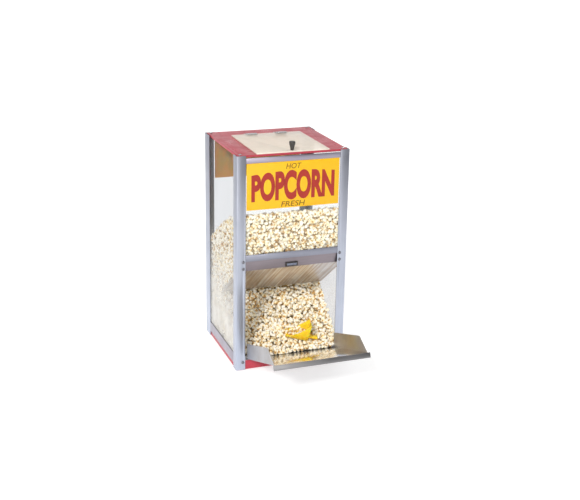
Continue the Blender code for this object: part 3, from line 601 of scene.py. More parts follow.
class Finish(Enum):
    """Every finish of the object: the record's material slot and the look."""

    # Painted shade: the posts' colour darkens towards their tops.
    POST = ("aluminium", BrushedMetal("aluminium_upright", ANODISED, 0.36, Grain.UPRIGHT, painted_top_shade=0.48))
    # Painted shade: the rails, crossbar and side rails are darker copies of the post aluminium, for the
    # shade on the bars that lie across.
    RAIL = ("aluminium", BrushedMetal("aluminium_across", (0.345, 0.315, 0.38), 0.36, Grain.ACROSS))
    CROSSBAR = ("aluminium", BrushedMetal("aluminium_crossbar", (0.30, 0.31, 0.375), 0.36, Grain.ACROSS))
    SIDE_RAIL = ("aluminium", BrushedMetal("aluminium_deep", (0.42, 0.40, 0.46), 0.36, Grain.DEEP))
    # One tray sheet in three copies: the upward floor brighter and warmer as painted light, the forward lip
    # darker as painted shade.
    TRAY_FLOOR = ("stainless", BrushedMetal("tray_floor_steel", (0.84, 0.79, 0.73), 0.13, Grain.SLOPING,
                                            contrast=0.08, line_scale=500.0, stain_and_reflection=0.10))
    TRAY = ("stainless", BrushedMetal("tray_steel", (0.49, 0.485, 0.50), 0.40, Grain.ACROSS,
                                      contrast=0.08, stain_and_reflection=0.16))
    LIP = ("stainless", BrushedMetal("lip_steel", (0.27, 0.265, 0.27), 0.42, Grain.ACROSS))
    # The baffle's bright warm sheet with strong brown streaks is partly stained and partly a painted
    # reflection of the popcorn below it.
    BAFFLE = ("stainless", BrushedMetal("baffle_steel", (0.97, 0.90, 0.86), 0.36, Grain.SLOPING,
                                        contrast=0.40, line_scale=190.0, line_length=0.25, stain_and_reflection=0.80,
                                        stain_and_reflection_colour=(0.46, 0.33, 0.25), stain_and_reflection_scale=110.0))
    # Painted shade: the flange is a dark copy of the baffle's steel, for the shade on its forward face.
    FLANGE = ("stainless", BrushedMetal("flange_steel", (0.285, 0.25, 0.275), 0.40, Grain.ACROSS,
                                        contrast=0.12))
    DECK = ("stainless", BrushedMetal("deck_steel", (0.60, 0.57, 0.545), 0.25, Grain.DEEP, stain_and_reflection=0.3))
    ZINC = ("bright_steel", PlatedSteel("zinc_plate"))
    DARK_ZINC = ("bright_steel", PlatedSteel("dark_zinc", (0.26, 0.26, 0.29), 0.36))
    HINGE = ("bright_steel", PlatedSteel("hinge_steel", (0.14, 0.135, 0.14), 0.38))
    MAGNET = ("bright_steel", PlatedSteel("magnet_steel", (0.26, 0.29, 0.38), 0.42))
    RED_PAINT = ("red_paint", PowderCoat("red_powder_coat", (0.45, 0.046, 0.070)))
    CLEAR_FRONT = ("clear_panel", ClearPanel("clear_front", (0.972, 0.977, 0.972)))
    CLEAR_SIDE = ("clear_panel", ClearPanel("clear_side", SIDE_TINT, haze=0.010, height_fade=0.20,
                                            mirror=SIDE_MIRROR))
    # The left wall's haze thickens low down: partly dust, partly a painted reflection.
    CLEAR_LEFT = ("clear_panel", ClearPanel("clear_left", SIDE_TINT, haze=0.012, height_fade=0.70,
                                            mirror=SIDE_MIRROR))
    # Painted reflection: the lid's heavy beige haze stands in for the white reflected off its clear sheet.
    CLEAR_LID = ("clear_lid", ClearPanel("clear_lid", (0.985, 0.97, 0.955), 0.60, (1.0, 0.915, 0.80),
                                         cloud=0.10))
    SIGN = ("sign_face", PrintedFace("sign_yellow", (0.84, 0.475, 0.014), glow=0.75))
    RED_INK = ("sign_face", PrintedFace("letter_red", (0.36, 0.028, 0.018), 0.38, 0.16))
    BROWN_INK = ("sign_face", PrintedFace("letter_brown", (0.20, 0.105, 0.006), 0.38, 0.16))
    WHITE_MARK = ("sign_face", PrintedFace("white_mark", (0.78, 0.78, 0.76)))
    BLACK_PLASTIC = ("black_plastic", MouldedPlastic("black_plastic", (0.035, 0.030, 0.027), 0.42))
    RUBBER = ("rubber", MouldedPlastic("foot_rubber", (0.028, 0.027, 0.026), 0.80, skin_scale=500.0))
    SCOOP = ("scoop_plastic", MouldedPlastic("scoop_yellow", (1.0, 0.68, 0.022), 0.42, glow=0.75))
    HEATED = ("heater_steel", HeatTintedSteel("heat_tinted_steel"))
    CORN = ("popcorn", PoppedCorn())
    # Painted shade: the heap's core is a darker amber, for the shade between the kernels.
    CORN_SHADE = ("popcorn", MouldedPlastic("popcorn_painted_shade", (0.62, 0.42, 0.17), 0.9, skin_scale=90.0))

    def __init__(self, slot: str, look: Look) -> None:
        """Note the slot and the look."""
        self.slot = slot
        self.look = look

    @cached_property
    def material(self) -> bpy.types.Material:
        """The material, made when it is first asked for."""
        return self.look.build()


# ---------------------------------------------------------------- mesh work


def box_shape(low: Vector, high: Vector) -> bmesh.types.BMesh:
    """A block between two corners.

    Args:
        low: The lowest corner.
        high: The highest corner.

    Returns:
        The block.
    """
    bm = bmesh.new()
    bmesh.ops.create_cube(bm, size=1.0)
    bmesh.ops.scale(bm, verts=bm.verts, vec=high - low)
    bmesh.ops.translate(bm, verts=bm.verts, vec=(low + high) / 2)
    return bm


def turned_shape(profile: Sequence[tuple[float, float]], steps: int) -> bmesh.types.BMesh:
    """Turn an (r, z) profile, which starts and ends on the axis, about Z.

    Args:
        profile: Its corners.
        steps: Faces round the axis.

    Returns:
        The closed shape, faces outwards.
    """
    bm = bmesh.new()
    verts = [bm.verts.new((r, 0.0, z)) for r, z in profile]
    edges = [bm.edges.new(pair) for pair in zip(verts, verts[1:])]
    bmesh.ops.spin(bm, geom=verts + edges, cent=(0, 0, 0), axis=(0, 0, 1), angle=math.tau,
                   steps=steps, use_merge=True)
    bmesh.ops.remove_doubles(bm, verts=bm.verts, dist=MERGE)
    bmesh.ops.recalc_face_normals(bm, faces=bm.faces)
    return bm


def soften(bm: bmesh.types.BMesh, width: float, segments: int = 2, over: float = 25.0) -> None:
    """Round a shape's arrises.

    Args:
        bm: The shape.
        width: How far the rounding reaches from an arris.
        segments: Faces across it.
        over: Degrees that an arris turns by at least.
    """
    edges = [e for e in bm.edges if e.is_manifold and e.calc_face_angle() > math.radians(over)]
    bmesh.ops.bevel(bm, geom=edges, offset=width, offset_type="OFFSET", segments=segments, profile=0.5,
                    affect="EDGES", clamp_overlap=True, material=-1)


def solid_copy(node: str) -> bmesh.types.BMesh:
    """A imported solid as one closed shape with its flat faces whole.

    Args:
        node: The solid's node.

    Returns:
        The shape.
    """
    bm = bmesh.new()
    bm.from_mesh(frame["nodes"][node].data)
    bmesh.ops.remove_doubles(bm, verts=bm.verts, dist=MERGE)
    bmesh.ops.dissolve_limit(bm, angle_limit=math.radians(1.0), verts=bm.verts, edges=bm.edges)
    return bm


def join(bm: bmesh.types.BMesh, other: bmesh.types.BMesh, matrix: Optional[Matrix] = None) -> None:
    """Put another shape into a shape.

    Args:
        bm: The shape that grows.
        other: What is put in; freed here.
        matrix: Where it goes, if it moves.
    """
    mesh = bpy.data.meshes.new("part")
    other.to_mesh(mesh)
    other.free()
    if matrix is not None:
        mesh.transform(matrix)
    bm.from_mesh(mesh)
    bpy.data.meshes.remove(mesh)


def stand(name: str, data: bpy.types.ID) -> bpy.types.Object:
    """Put a mesh, a lamp or a camera into the scene.

    Args:
        name: The name of its object.
        data: What the object holds.

    Returns:
        The object.
    """
    thing = bpy.data.objects.new(name, data)
    bpy.context.scene.collection.objects.link(thing)
    return thing


def carve(bm: bmesh.types.BMesh, tool: bmesh.types.BMesh) -> bmesh.types.BMesh:
    """Cut one shape out of another.

    Args:
        bm: The shape, freed here.
        tool: What is cut away, freed here.

    Returns:
        The cut shape.
    """
    things = []
    for source in (bm, tool):
        mesh = bpy.data.meshes.new("carving")
        source.to_mesh(mesh)
        source.free()
        things.append(stand("carving", mesh))
    modifier = things[0].modifiers.new("cut", "BOOLEAN")
    modifier.operation = "DIFFERENCE"
    modifier.solver = "EXACT"
    modifier.object = things[1]
    cut = bmesh.new()
    cut.from_object(things[0], bpy.context.evaluated_depsgraph_get())
    for thing in things:
        bpy.data.objects.remove(thing)
    return cut


def add_piece(name: str, bm: bmesh.types.BMesh, finish: Finish, stands_for: Sequence[str] = (),
              body: str = "cabinet", smooth: bool = True) -> bpy.types.Object:
    """Turn a shape into a named piece of the object.

    Args:
        name: The piece's name.
        bm: Its shape, in place; freed here.
        finish: Its finish.
        stands_for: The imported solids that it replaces.
        body: The body that it rides on.
        smooth: Shade it smooth between sharp edges.

    Returns:
        The new object.
    """
    mesh = bpy.data.meshes.new(name)
    bm.to_mesh(mesh)
    bm.free()
    piece = stand(name, mesh)
    mesh.materials.append(finish.material)
    if smooth:
        mesh.shade_smooth()
        mesh.set_sharp_from_angle(angle=SHARP)
    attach(piece, body)
    if stands_for:
        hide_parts(*stands_for)
    LOG.info("%s: %d faces", name, len(mesh.polygons))
    return piece


def finish_solid(node: str, finish: Finish, width: float = 0.0004, segments: int = 2,
                 body: str = "cabinet") -> bpy.types.Object:
    """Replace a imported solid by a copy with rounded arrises.

    Args:
        node: The solid's node.
        finish: The copy's finish.
        width: How far the rounding reaches from an arris.
        segments: Faces across it.
        body: The body that it rides on.

    Returns:
        The copy.
    """
    bm = solid_copy(node)
    soften(bm, width, segments)
    return add_piece(f"{node}_finished", bm, finish, (node,), body)


def refinish(piece: bpy.types.Object, finish: Finish,
             test: Callable[[bpy.types.MeshPolygon], bool]) -> None:
    """Give some faces of a piece another finish.

    Args:
        piece: The piece.
        finish: The other finish.
        test: Whether a face takes it.
    """
    piece.data.materials.append(finish.material)
    for face in piece.data.polygons:
        if test(face):
            face.material_index = len(piece.data.materials) - 1


def dress_solid(node: str, finish: Finish) -> None:
    """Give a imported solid, kept as it is, its finish.

    Args:
        node: The solid's node.
        finish: Its finish.
    """
    for slot in frame["nodes"][node].material_slots:
        slot.material = finish.material
    LOG.info("%s: kept", node)


@dataclass(frozen=True)
class Cabinet:
    """The cabinet's main measures, read from its corner posts."""

    depth: float
    front: float
    foot: float

    @classmethod
    def measure(cls) -> "Cabinet":
        """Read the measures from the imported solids.

        Returns:
            The measures.
        """
        low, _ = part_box("post_front_left")
        _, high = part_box("post_rear_right")
        return cls(high.y - low.y, low.y, low.z)

    def at(self, x: float, y: float, z: float) -> Vector:
        """A place from the front face and the post feet, in the shared frame."""
        return Vector((x, self.front + y, self.foot + z))


# ---------------------------------------------------------------- sub-assemblies


@dataclass
class Framework:
    """Corner posts, rails and crossbar in anodised aluminium."""

    arris: float = 0.0006

    def build(self) -> None:
        """Round the arrises of every bar and brush it along its length."""
        finishes = {f"post_{end}_{side}": Finish.POST for end, side in product(ENDS, SIDES)}
        finishes["crossbar"] = Finish.CROSSBAR
        finishes |= dict.fromkeys(("rail_header", "rail_lower_rear", "rail_upper_rear"), Finish.RAIL)
        finishes |= dict.fromkeys(("rail_lower_left", "rail_lower_right"), Finish.SIDE_RAIL)
        for node, finish in finishes.items():
            finish_solid(node, finish, self.arris)


@dataclass
class RedShell:
    """Base pan, roof pan, bottom cover, heated deck and feet."""

    fold: float = 0.0009

    def build(self) -> None:
        """Fold the pans' arrises round and paint them."""
        for node in ("base_pan", "roof_pan"):
            finish_solid(node, Finish.RED_PAINT, self.fold, 3)
        # The bottom cover takes the rails' darker aluminium, with its painted shade.
        finish_solid("bottom_cover", Finish.RAIL, SHEET_EDGE)
        finish_solid("heat_deck", Finish.DECK, SHEET_EDGE)
        for end, side in product(ENDS, SIDES):
            finish_solid(f"foot_{end}_{side}", Finish.RUBBER, MOULDED_EDGE)


@dataclass
class ClearWalls:
    """The four clear walls."""

    polish: float = 0.0003

    def build(self) -> None:
        """Break the edges of each sheet."""
        for wall, finish in (("front", Finish.CLEAR_FRONT), ("left", Finish.CLEAR_LEFT),
                             ("rear", Finish.CLEAR_SIDE), ("right", Finish.CLEAR_SIDE)):
            finish_solid(f"pane_{wall}", finish, self.polish, 1)


@dataclass(frozen=True)
class Words:
    """A line of plain lettering on a sign."""

    text: str
    centre: tuple[float, float]
    size: tuple[float, float]
    weight: float
    arch: float
    lean: float
    ink: Finish


@dataclass
class Signs:
    """Two yellow sign panels with plain lettering on their outer faces."""

    ink_depth: float = 0.00025
    lines: tuple[Words, ...] = (
        Words("POPCORN", (0.0, -0.04), (0.90, 0.58), 0.050, 0.06, 0.0, Finish.RED_INK),
        Words("HOT", (0.0, 0.395), (0.155, 0.115), 0.006, 0.0, 0.2, Finish.BROWN_INK),
        Words("FRESH", (0.0, -0.415), (0.25, 0.115), 0.006, 0.0, 0.2, Finish.BROWN_INK),
    )

    def build(self) -> None:
        """Make both panels and letter them."""
        for node, outward in (("sign_front", -1), ("sign_rear", 1)):
            finish_solid(node, Finish.SIGN, SHEET_EDGE)
            for words in self.lines:
                self.letter(node, outward, words)

    def letter(self, node: str, outward: int, words: Words) -> None:
        """Set one line of words on a panel.

        Args:
            node: The panel.
            outward: -1 where its face looks forwards, 1 where it looks backwards.
            words: What to set, in shares of the panel's width and height.
        """
        low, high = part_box(node)
        middle, extent = (low + high) / 2, high - low
        bm = self.type_out(words)
        width, height = words.size[0] * extent.x, words.size[1] * extent.z
        rise = words.arch * extent.z
        for vert in bm.verts:
            across, up, out = vert.co
            bow = rise * (1 - (2 * across) ** 2) * (0.5 + up)
            leaned = across * width + words.lean * up * height
            face = low.y if outward < 0 else high.y
            vert.co = (-outward * (leaned + words.centre[0] * extent.x) + middle.x,
                       face + outward * (out + 0.5) * self.ink_depth,
                       up * height + bow + words.centre[1] * extent.z + middle.z)
        bmesh.ops.recalc_face_normals(bm, faces=bm.faces)
        add_piece(f"{node}_{words.text.lower()}", bm, words.ink, smooth=False)

    def type_out(self, words: Words) -> bmesh.types.BMesh:
        """Set words as a solid one unit wide, high and thick about the origin.

        Args:
            words: What to set.

        Returns:
            The solid.
        """
        curve = bpy.data.curves.new("words", "FONT")
        curve.body = words.text
        curve.offset = words.weight
        curve.extrude = 0.05
        curve.resolution_u = 5
        holder = bpy.data.objects.new("words", curve)
        mesh = bpy.data.meshes.new_from_object(holder)
        bm = bmesh.new()
        bm.from_mesh(mesh)
        bpy.data.objects.remove(holder)
        bpy.data.meshes.remove(mesh)
        bmesh.ops.remove_doubles(bm, verts=bm.verts, dist=MERGE)
        low = Vector([min(v.co[i] for v in bm.verts) for i in range(3)])
        high = Vector([max(v.co[i] for v in bm.verts) for i in range(3)])
        bmesh.ops.translate(bm, verts=bm.verts, vec=-(low + high) / 2)
        bmesh.ops.scale(bm, verts=bm.verts, vec=[1.0 / side for side in high - low])
        return bm


@dataclass
class MouthBaffle:
    """The folded sheet over the mouth and its magnetic catch."""

    cabinet: Cabinet
    fold_level: float = 0.3272

    def build(self) -> None:
        """Round the folds a little, brush the flange across and finish the catch."""
        sheet = finish_solid("baffle", Finish.BAFFLE, SHEET_EDGE)
        fold = self.cabinet.at(0, 0, self.fold_level).z
        # The upper, forward-facing part of the sheet takes the dark copy as painted shade.
        refinish(sheet, Finish.FLANGE, lambda face: face.center.z > fold)
        finish_solid("catch_housing", Finish.BLACK_PLASTIC, MOULDED_EDGE)
        finish_solid("catch_magnet", Finish.MAGNET, SMALL_EDGE)


@dataclass
class ServingTray:
    """The serving tray, its pivot rod and brackets."""

    floor_facing: float = 0.85

    def build(self) -> None:
        """Soften the sheet's edges and dress the rod."""
        tray = finish_solid("tray", Finish.TRAY, SHEET_EDGE, body="tray")
        # Upward faces take the bright copy and forward faces the dark one: painted light and painted shade.
        refinish(tray, Finish.TRAY_FLOOR, lambda face: face.normal.z > self.floor_facing)
        refinish(tray, Finish.LIP, lambda face: face.normal.y < -self.floor_facing)
        dress_solid("tray_rod", Finish.ZINC)
        for side in SIDES:
            finish_solid(f"tray_bracket_{side}", Finish.ZINC, SMALL_EDGE, 1)


@dataclass
class ScrewMaker:
    """Pan-head screws with a cross recess."""

    slot_width: float = 0.0011
    slot_reach: float = 0.62
    slot_depth: float = 0.55
    steps: int = 28

    def head(self, radius: float, height: float, shank: float, shank_radius: float) -> bmesh.types.BMesh:
        """A screw standing on Z = 0 with its shank below.

        Args:
            radius: Of the head.
            height: Of the head.
            shank: Length of the plain shank.
            shank_radius: Half its thickness.

        Returns:
            The closed shape.
        """
        crown = [(0.0, height)]
        for turn in range(15, 91, 15):
            angle = math.radians(turn)
            crown.append((radius * math.sin(angle) ** 0.8, height * (0.25 + 0.75 * math.cos(angle) ** 0.9)))
        crown.append((radius * 0.97, 0.0))
        crown += [(shank_radius, 0.0), (shank_radius, -shank), (0.0, -shank)]
        screw = turned_shape(crown, self.steps)
        reach, half = self.slot_reach * radius, self.slot_width / 2
        floor = height * (1 - self.slot_depth)
        for long, wide in ((reach, half), (half, reach)):
            screw = carve(screw, box_shape(Vector((-long, -wide, floor)), Vector((long, wide, 2 * height))))
        return screw


@dataclass
class Fasteners:
    """The screws of the front posts and of the roof corners."""

    maker: ScrewMaker
    shank_radius: float = 0.0019
    head_height: float = 0.0024

    def build(self) -> None:
        """Put a recessed screw in the place of each plain one."""
        for side in SIDES:
            for number in (1, 2, 3):
                self.replace(f"post_screw_{side}_{number}", Vector((0, -1, 0)), Finish.DARK_ZINC)
            for end in ENDS:
                self.replace(f"roof_screw_{end}_{side}", Vector((0, 0, 1)), Finish.ZINC)

    def replace(self, node: str, out: Vector, finish: Finish) -> None:
        """Stand a new screw where a solid one is.

        Args:
            node: The solid screw.
            out: The way its head looks.
            finish: Its finish.
        """
        low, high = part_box(node)
        length = abs((high - low).dot(out))
        shape = self.maker.head((high.x - low.x) / 2, self.head_height, length - self.head_height,
                                self.shank_radius)
        seat = (low + high) / 2 + out * (length / 2 - self.head_height)
        turn = out.to_track_quat("Z", "X").to_matrix().to_4x4()
        spin = Matrix.Rotation(random.Random(node).uniform(0, math.pi / 2), 4, "Z")
        bmesh.ops.transform(shape, matrix=Matrix.Translation(seat) @ turn @ spin, verts=shape.verts)
        add_piece(f"{node}_finished", shape, finish, (node,))


@dataclass
class FillLid:
    """The clear lid, its knob and its two hinges.

    The knob's outline is in shares of its radius and height, from its crown to its foot.
    """

    maker: ScrewMaker
    knob_steps: int = 40
    knob_outline: tuple[tuple[float, float], ...] = (
        (0.68, 1.0), (0.80, 0.990), (0.91, 0.962), (0.975, 0.915), (1.0, 0.850), (0.955, 0.73),
        (0.87, 0.58), (0.76, 0.42), (0.66, 0.28), (0.60, 0.15), (0.565, 0.03), (0.54, 0.0))
    knob_bore: float = 0.0023
    bore_share: float = 0.42
    leaf_softening: float = 0.00015
    roof_leaf_thickness: float = 0.0012
    screw_inset: float = 0.0055
    screw_share: float = 0.33
    screw_radius: float = 0.0026
    screw_height: float = 0.0011
    screw_shank: tuple[float, float] = (0.0004, 0.0012)
    flat_reach: float = 0.007

    def build(self) -> None:
        """Make the sheet, the knob and the hinges."""
        finish_solid("lid_panel", Finish.CLEAR_LID, body="lid")
        self.build_knob()
        finish_solid("knob_screw", Finish.ZINC, SMALL_EDGE, body="lid")
        for number in (1, 2):
            self.build_hinge(number)

    def build_knob(self) -> None:
        """A tapered knob with a rounded crown and a bore for its screw."""
        low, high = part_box("lid_knob")
        tall, wide = high.z - low.z, (high.x - low.x) / 2
        top = self.bore_share * tall
        profile = [(0.0, tall), *((out * wide, up * tall) for out, up in self.knob_outline),
                   (self.knob_bore, 0.0), (self.knob_bore, top), (0.0, top)]
        bm = turned_shape(profile, self.knob_steps)
        bmesh.ops.translate(bm, verts=bm.verts, vec=((low.x + high.x) / 2, (low.y + high.y) / 2, low.z))
        add_piece("lid_knob_finished", bm, Finish.BLACK_PLASTIC, ("lid_knob",), "lid")

    def build_hinge(self, number: int) -> None:
        """Both leaves of a hinge with their screws, and the pin.

        Args:
            number: Which hinge, 1 or 2.
        """
        for leaf, body in (("roof", "cabinet"), ("lid", "lid")):
            node = f"hinge_{leaf}_leaf_{number}"
            low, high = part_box(node)
            bm = solid_copy(node)
            soften(bm, self.leaf_softening, 1)
            if leaf == "roof":
                y = high.y - self.screw_inset
                level = low.z + self.roof_leaf_thickness
            else:
                y = low.y + self.screw_inset
                level = self.leaf_top(node, y)
            leaf_faces = len(bm.faces)
            for share in (-self.screw_share, self.screw_share):
                x = (low.x + high.x) / 2 + share * (high.x - low.x)
                screw = self.maker.head(self.screw_radius, self.screw_height, *self.screw_shank)
                join(bm, screw, Matrix.Translation((x, y, level)))
            piece = add_piece(f"{node}_finished", bm, Finish.HINGE, (node,), body)
            refinish(piece, Finish.ZINC, lambda face: face.index >= leaf_faces)
        dress_solid(f"hinge_pin_{number}", Finish.DARK_ZINC)

    def leaf_top(self, node: str, y: float) -> float:
        """The upper side of a leaf's flat part, near a distance y."""
        points = (v.co for v in frame["nodes"][node].data.vertices)
        return max(p.z for p in points if abs(p.y - y) < self.flat_reach)


@dataclass
class PowerFittings:
    """Inlet, switch, element, clips and cut-out.

    Places of the contacts are from the inlet's middle; those on the rocker are from its axis,
    with the marks' faces leaning by the angle of a wing.
    """

    inlet_edge: float = 0.0006
    contact: tuple[float, float, float] = (0.0020, 0.0125, 0.0040)
    contact_start: float = 0.0030
    contact_edge: float = 0.0004
    contact_places: tuple[tuple[float, float], ...] = ((-0.0070, -0.0022), (0.0070, -0.0022), (0.0, 0.0026))
    rocker_x: float = -0.100
    wing_lean: float = math.radians(11.0)
    wing_reach: float = 0.0040
    wing_rise: float = 0.0026
    stroke: tuple[float, float] = (0.0004, 0.0016)
    ring: tuple[float, float] = (0.0010, 0.0017)
    mark_rise: float = 0.0003
    mark_root: float = 0.0001
    ring_steps: int = 24

    def build(self) -> None:
        """Finish the mouldings, add the inlet's pins and dress the inner parts."""
        finish_solid("cord_inlet", Finish.BLACK_PLASTIC, self.inlet_edge)
        finish_solid("switch_frame", Finish.BLACK_PLASTIC, MOULDED_EDGE)
        finish_solid("switch_rocker", Finish.BLACK_PLASTIC, body="rocker")
        self.build_pins()
        self.build_marks()
        dress_solid("heater_element", Finish.HEATED)
        for node in ("heater_clip_left", "heater_clip_right", "thermal_cutout"):
            dress_solid(node, Finish.ZINC)

    def build_pins(self) -> None:
        """Three flat contacts in the inlet: two below and the earth above them."""
        low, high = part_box("cord_inlet")
        middle = (low + high) / 2
        width, reach, height = self.contact
        pins = bmesh.new()
        for x, z in self.contact_places:
            corner = Vector((middle.x + x, low.y + self.contact_start, middle.z + z))
            pin = box_shape(corner - Vector((width / 2, 0, height / 2)),
                            corner + Vector((width / 2, reach, height / 2)))
            soften(pin, self.contact_edge)
            join(pins, pin)
        add_piece("inlet_contacts", pins, Finish.ZINC)

    def build_marks(self) -> None:
        """A stroke and a ring raised on the two wings of the rocker."""
        low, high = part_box("switch_rocker")
        level = (low.z + high.z) / 2
        half_width, half_height = self.stroke
        bm = bmesh.new()
        stroke = box_shape(Vector((-half_width, -self.mark_root, -half_height)),
                           Vector((half_width, self.mark_rise, half_height)))
        join(bm, stroke, self.wing_place(-1, level))
        inner, outer = self.ring
        ring = carve(self.disc(outer, self.mark_rise, self.mark_root),
                     self.disc(inner, 2 * self.mark_rise, 4 * self.mark_root))
        bmesh.ops.rotate(ring, verts=ring.verts, matrix=Matrix.Rotation(-math.pi / 2, 3, "X"))
        join(bm, ring, self.wing_place(1, level))
        add_piece("rocker_marks", bm, Finish.WHITE_MARK, body="rocker")

    def disc(self, radius: float, top: float, depth: float) -> bmesh.types.BMesh:
        """A disc that reaches from below Z = 0 to a top."""
        return turned_shape([(0.0, top), (radius, top), (radius, -depth), (0.0, -depth)], self.ring_steps)

    def wing_place(self, side: int, level: float) -> Matrix:
        """Where the middle of a wing's face is, and how it leans.

        Args:
            side: -1 for the left wing, 1 for the right.
            level: The height of the rocker's middle.

        Returns:
            The matrix that carries a mark there.
        """
        reach = side * self.wing_reach
        flat = Vector((reach, self.wing_rise + abs(reach) * math.tan(self.wing_lean), 0))
        turned = Matrix.Rotation(self.wing_lean, 3, "Z") @ flat
        place = Vector((self.rocker_x + turned.x, joint_place("rocker_switch").y + turned.y, level))
        return Matrix.Translation(place) @ Matrix.Rotation((1 + side) * self.wing_lean, 4, "Z")


def joint_place(name: str) -> Vector:
    """Where a joint's axis stands."""
    return next(Vector(joint["pos_m"]) for joint in frame["joints"] if joint["name"] == name)


@dataclass
class Scoop:
    """The loose yellow scoop."""

    rim: float = 0.0006

    def build(self) -> None:
        """Round the scoop's rims."""
        finish_solid("scoop", Finish.SCOOP, self.rim, body="scoop")


@dataclass
class KernelShape:
    """Templates of popped kernels, all with the same number of points."""

    seed: int = 7
    variety: int = 12
    radius: float = 0.0086
    body: float = 0.45
    lobe: float = 0.68
    sharpness: float = 2.2
    unevenness: float = 0.10

    def build(self) -> list[tuple[bpy.types.Mesh, list[float]]]:
        """Blow up the templates.

        Returns:
            Each template's mesh, and how far out each of its points lies from 0 to 1.
        """
        dice = random.Random(self.seed)
        return [self.pop(dice) for _ in range(self.variety)]

    def pop(self, dice: random.Random) -> tuple[bpy.types.Mesh, list[float]]:
        """One kernel: a small ball blown out into a few lobes.

        Args:
            dice: What its lobes are drawn from.

        Returns:
            Its mesh, and how far out each point lies from 0 to 1.
        """
        bm = bmesh.new()
        bmesh.ops.create_icosphere(bm, subdivisions=2, radius=1.0)
        lobes = [self.direction(dice) for _ in range(dice.randint(4, 6))]
        sizes = [dice.uniform(0.75, 1.15) for _ in lobes]
        depths = []
        for vert in bm.verts:
            way = vert.co.normalized()
            reach = max(size * max(0.0, way.dot(lobe)) ** self.sharpness for lobe, size in zip(lobes, sizes))
            reach += dice.uniform(-self.unevenness, self.unevenness)
            depths.append(min(1.0, max(0.0, reach)))
            vert.co = way * self.radius * (self.body + self.lobe * reach)
        mesh = bpy.data.meshes.new("kernel")
        bm.to_mesh(mesh)
        bm.free()
        return mesh, depths

    def direction(self, dice: random.Random) -> Vector:
        """A direction with no preference."""
        return Vector([dice.gauss(0, 1) for _ in range(3)]).normalized()


@dataclass(frozen=True)
class Patch:
    """A flat stretch of the heap's surface that kernels are laid on.

    along and up span it, into leads towards the inside of the heap.
    """

    corner: Vector
    along: Vector
    up: Vector
    into: Vector
    keep: Callable[[Vector], bool]


@dataclass(frozen=True)
class Line:
    """A straight line in the cabinet's side view, in (y, z)."""

    start: Vector
    end: Vector

    @property
    def way(self) -> Vector:
        """Its direction, one unit long."""
        return (self.end - self.start).normalized()

    def height_of(self, place: Vector) -> float:
        """How far above the line a place is."""
        off = Vector((place.y, place.z)) - self.start
        return self.way.x * off.y - self.way.y * off.x


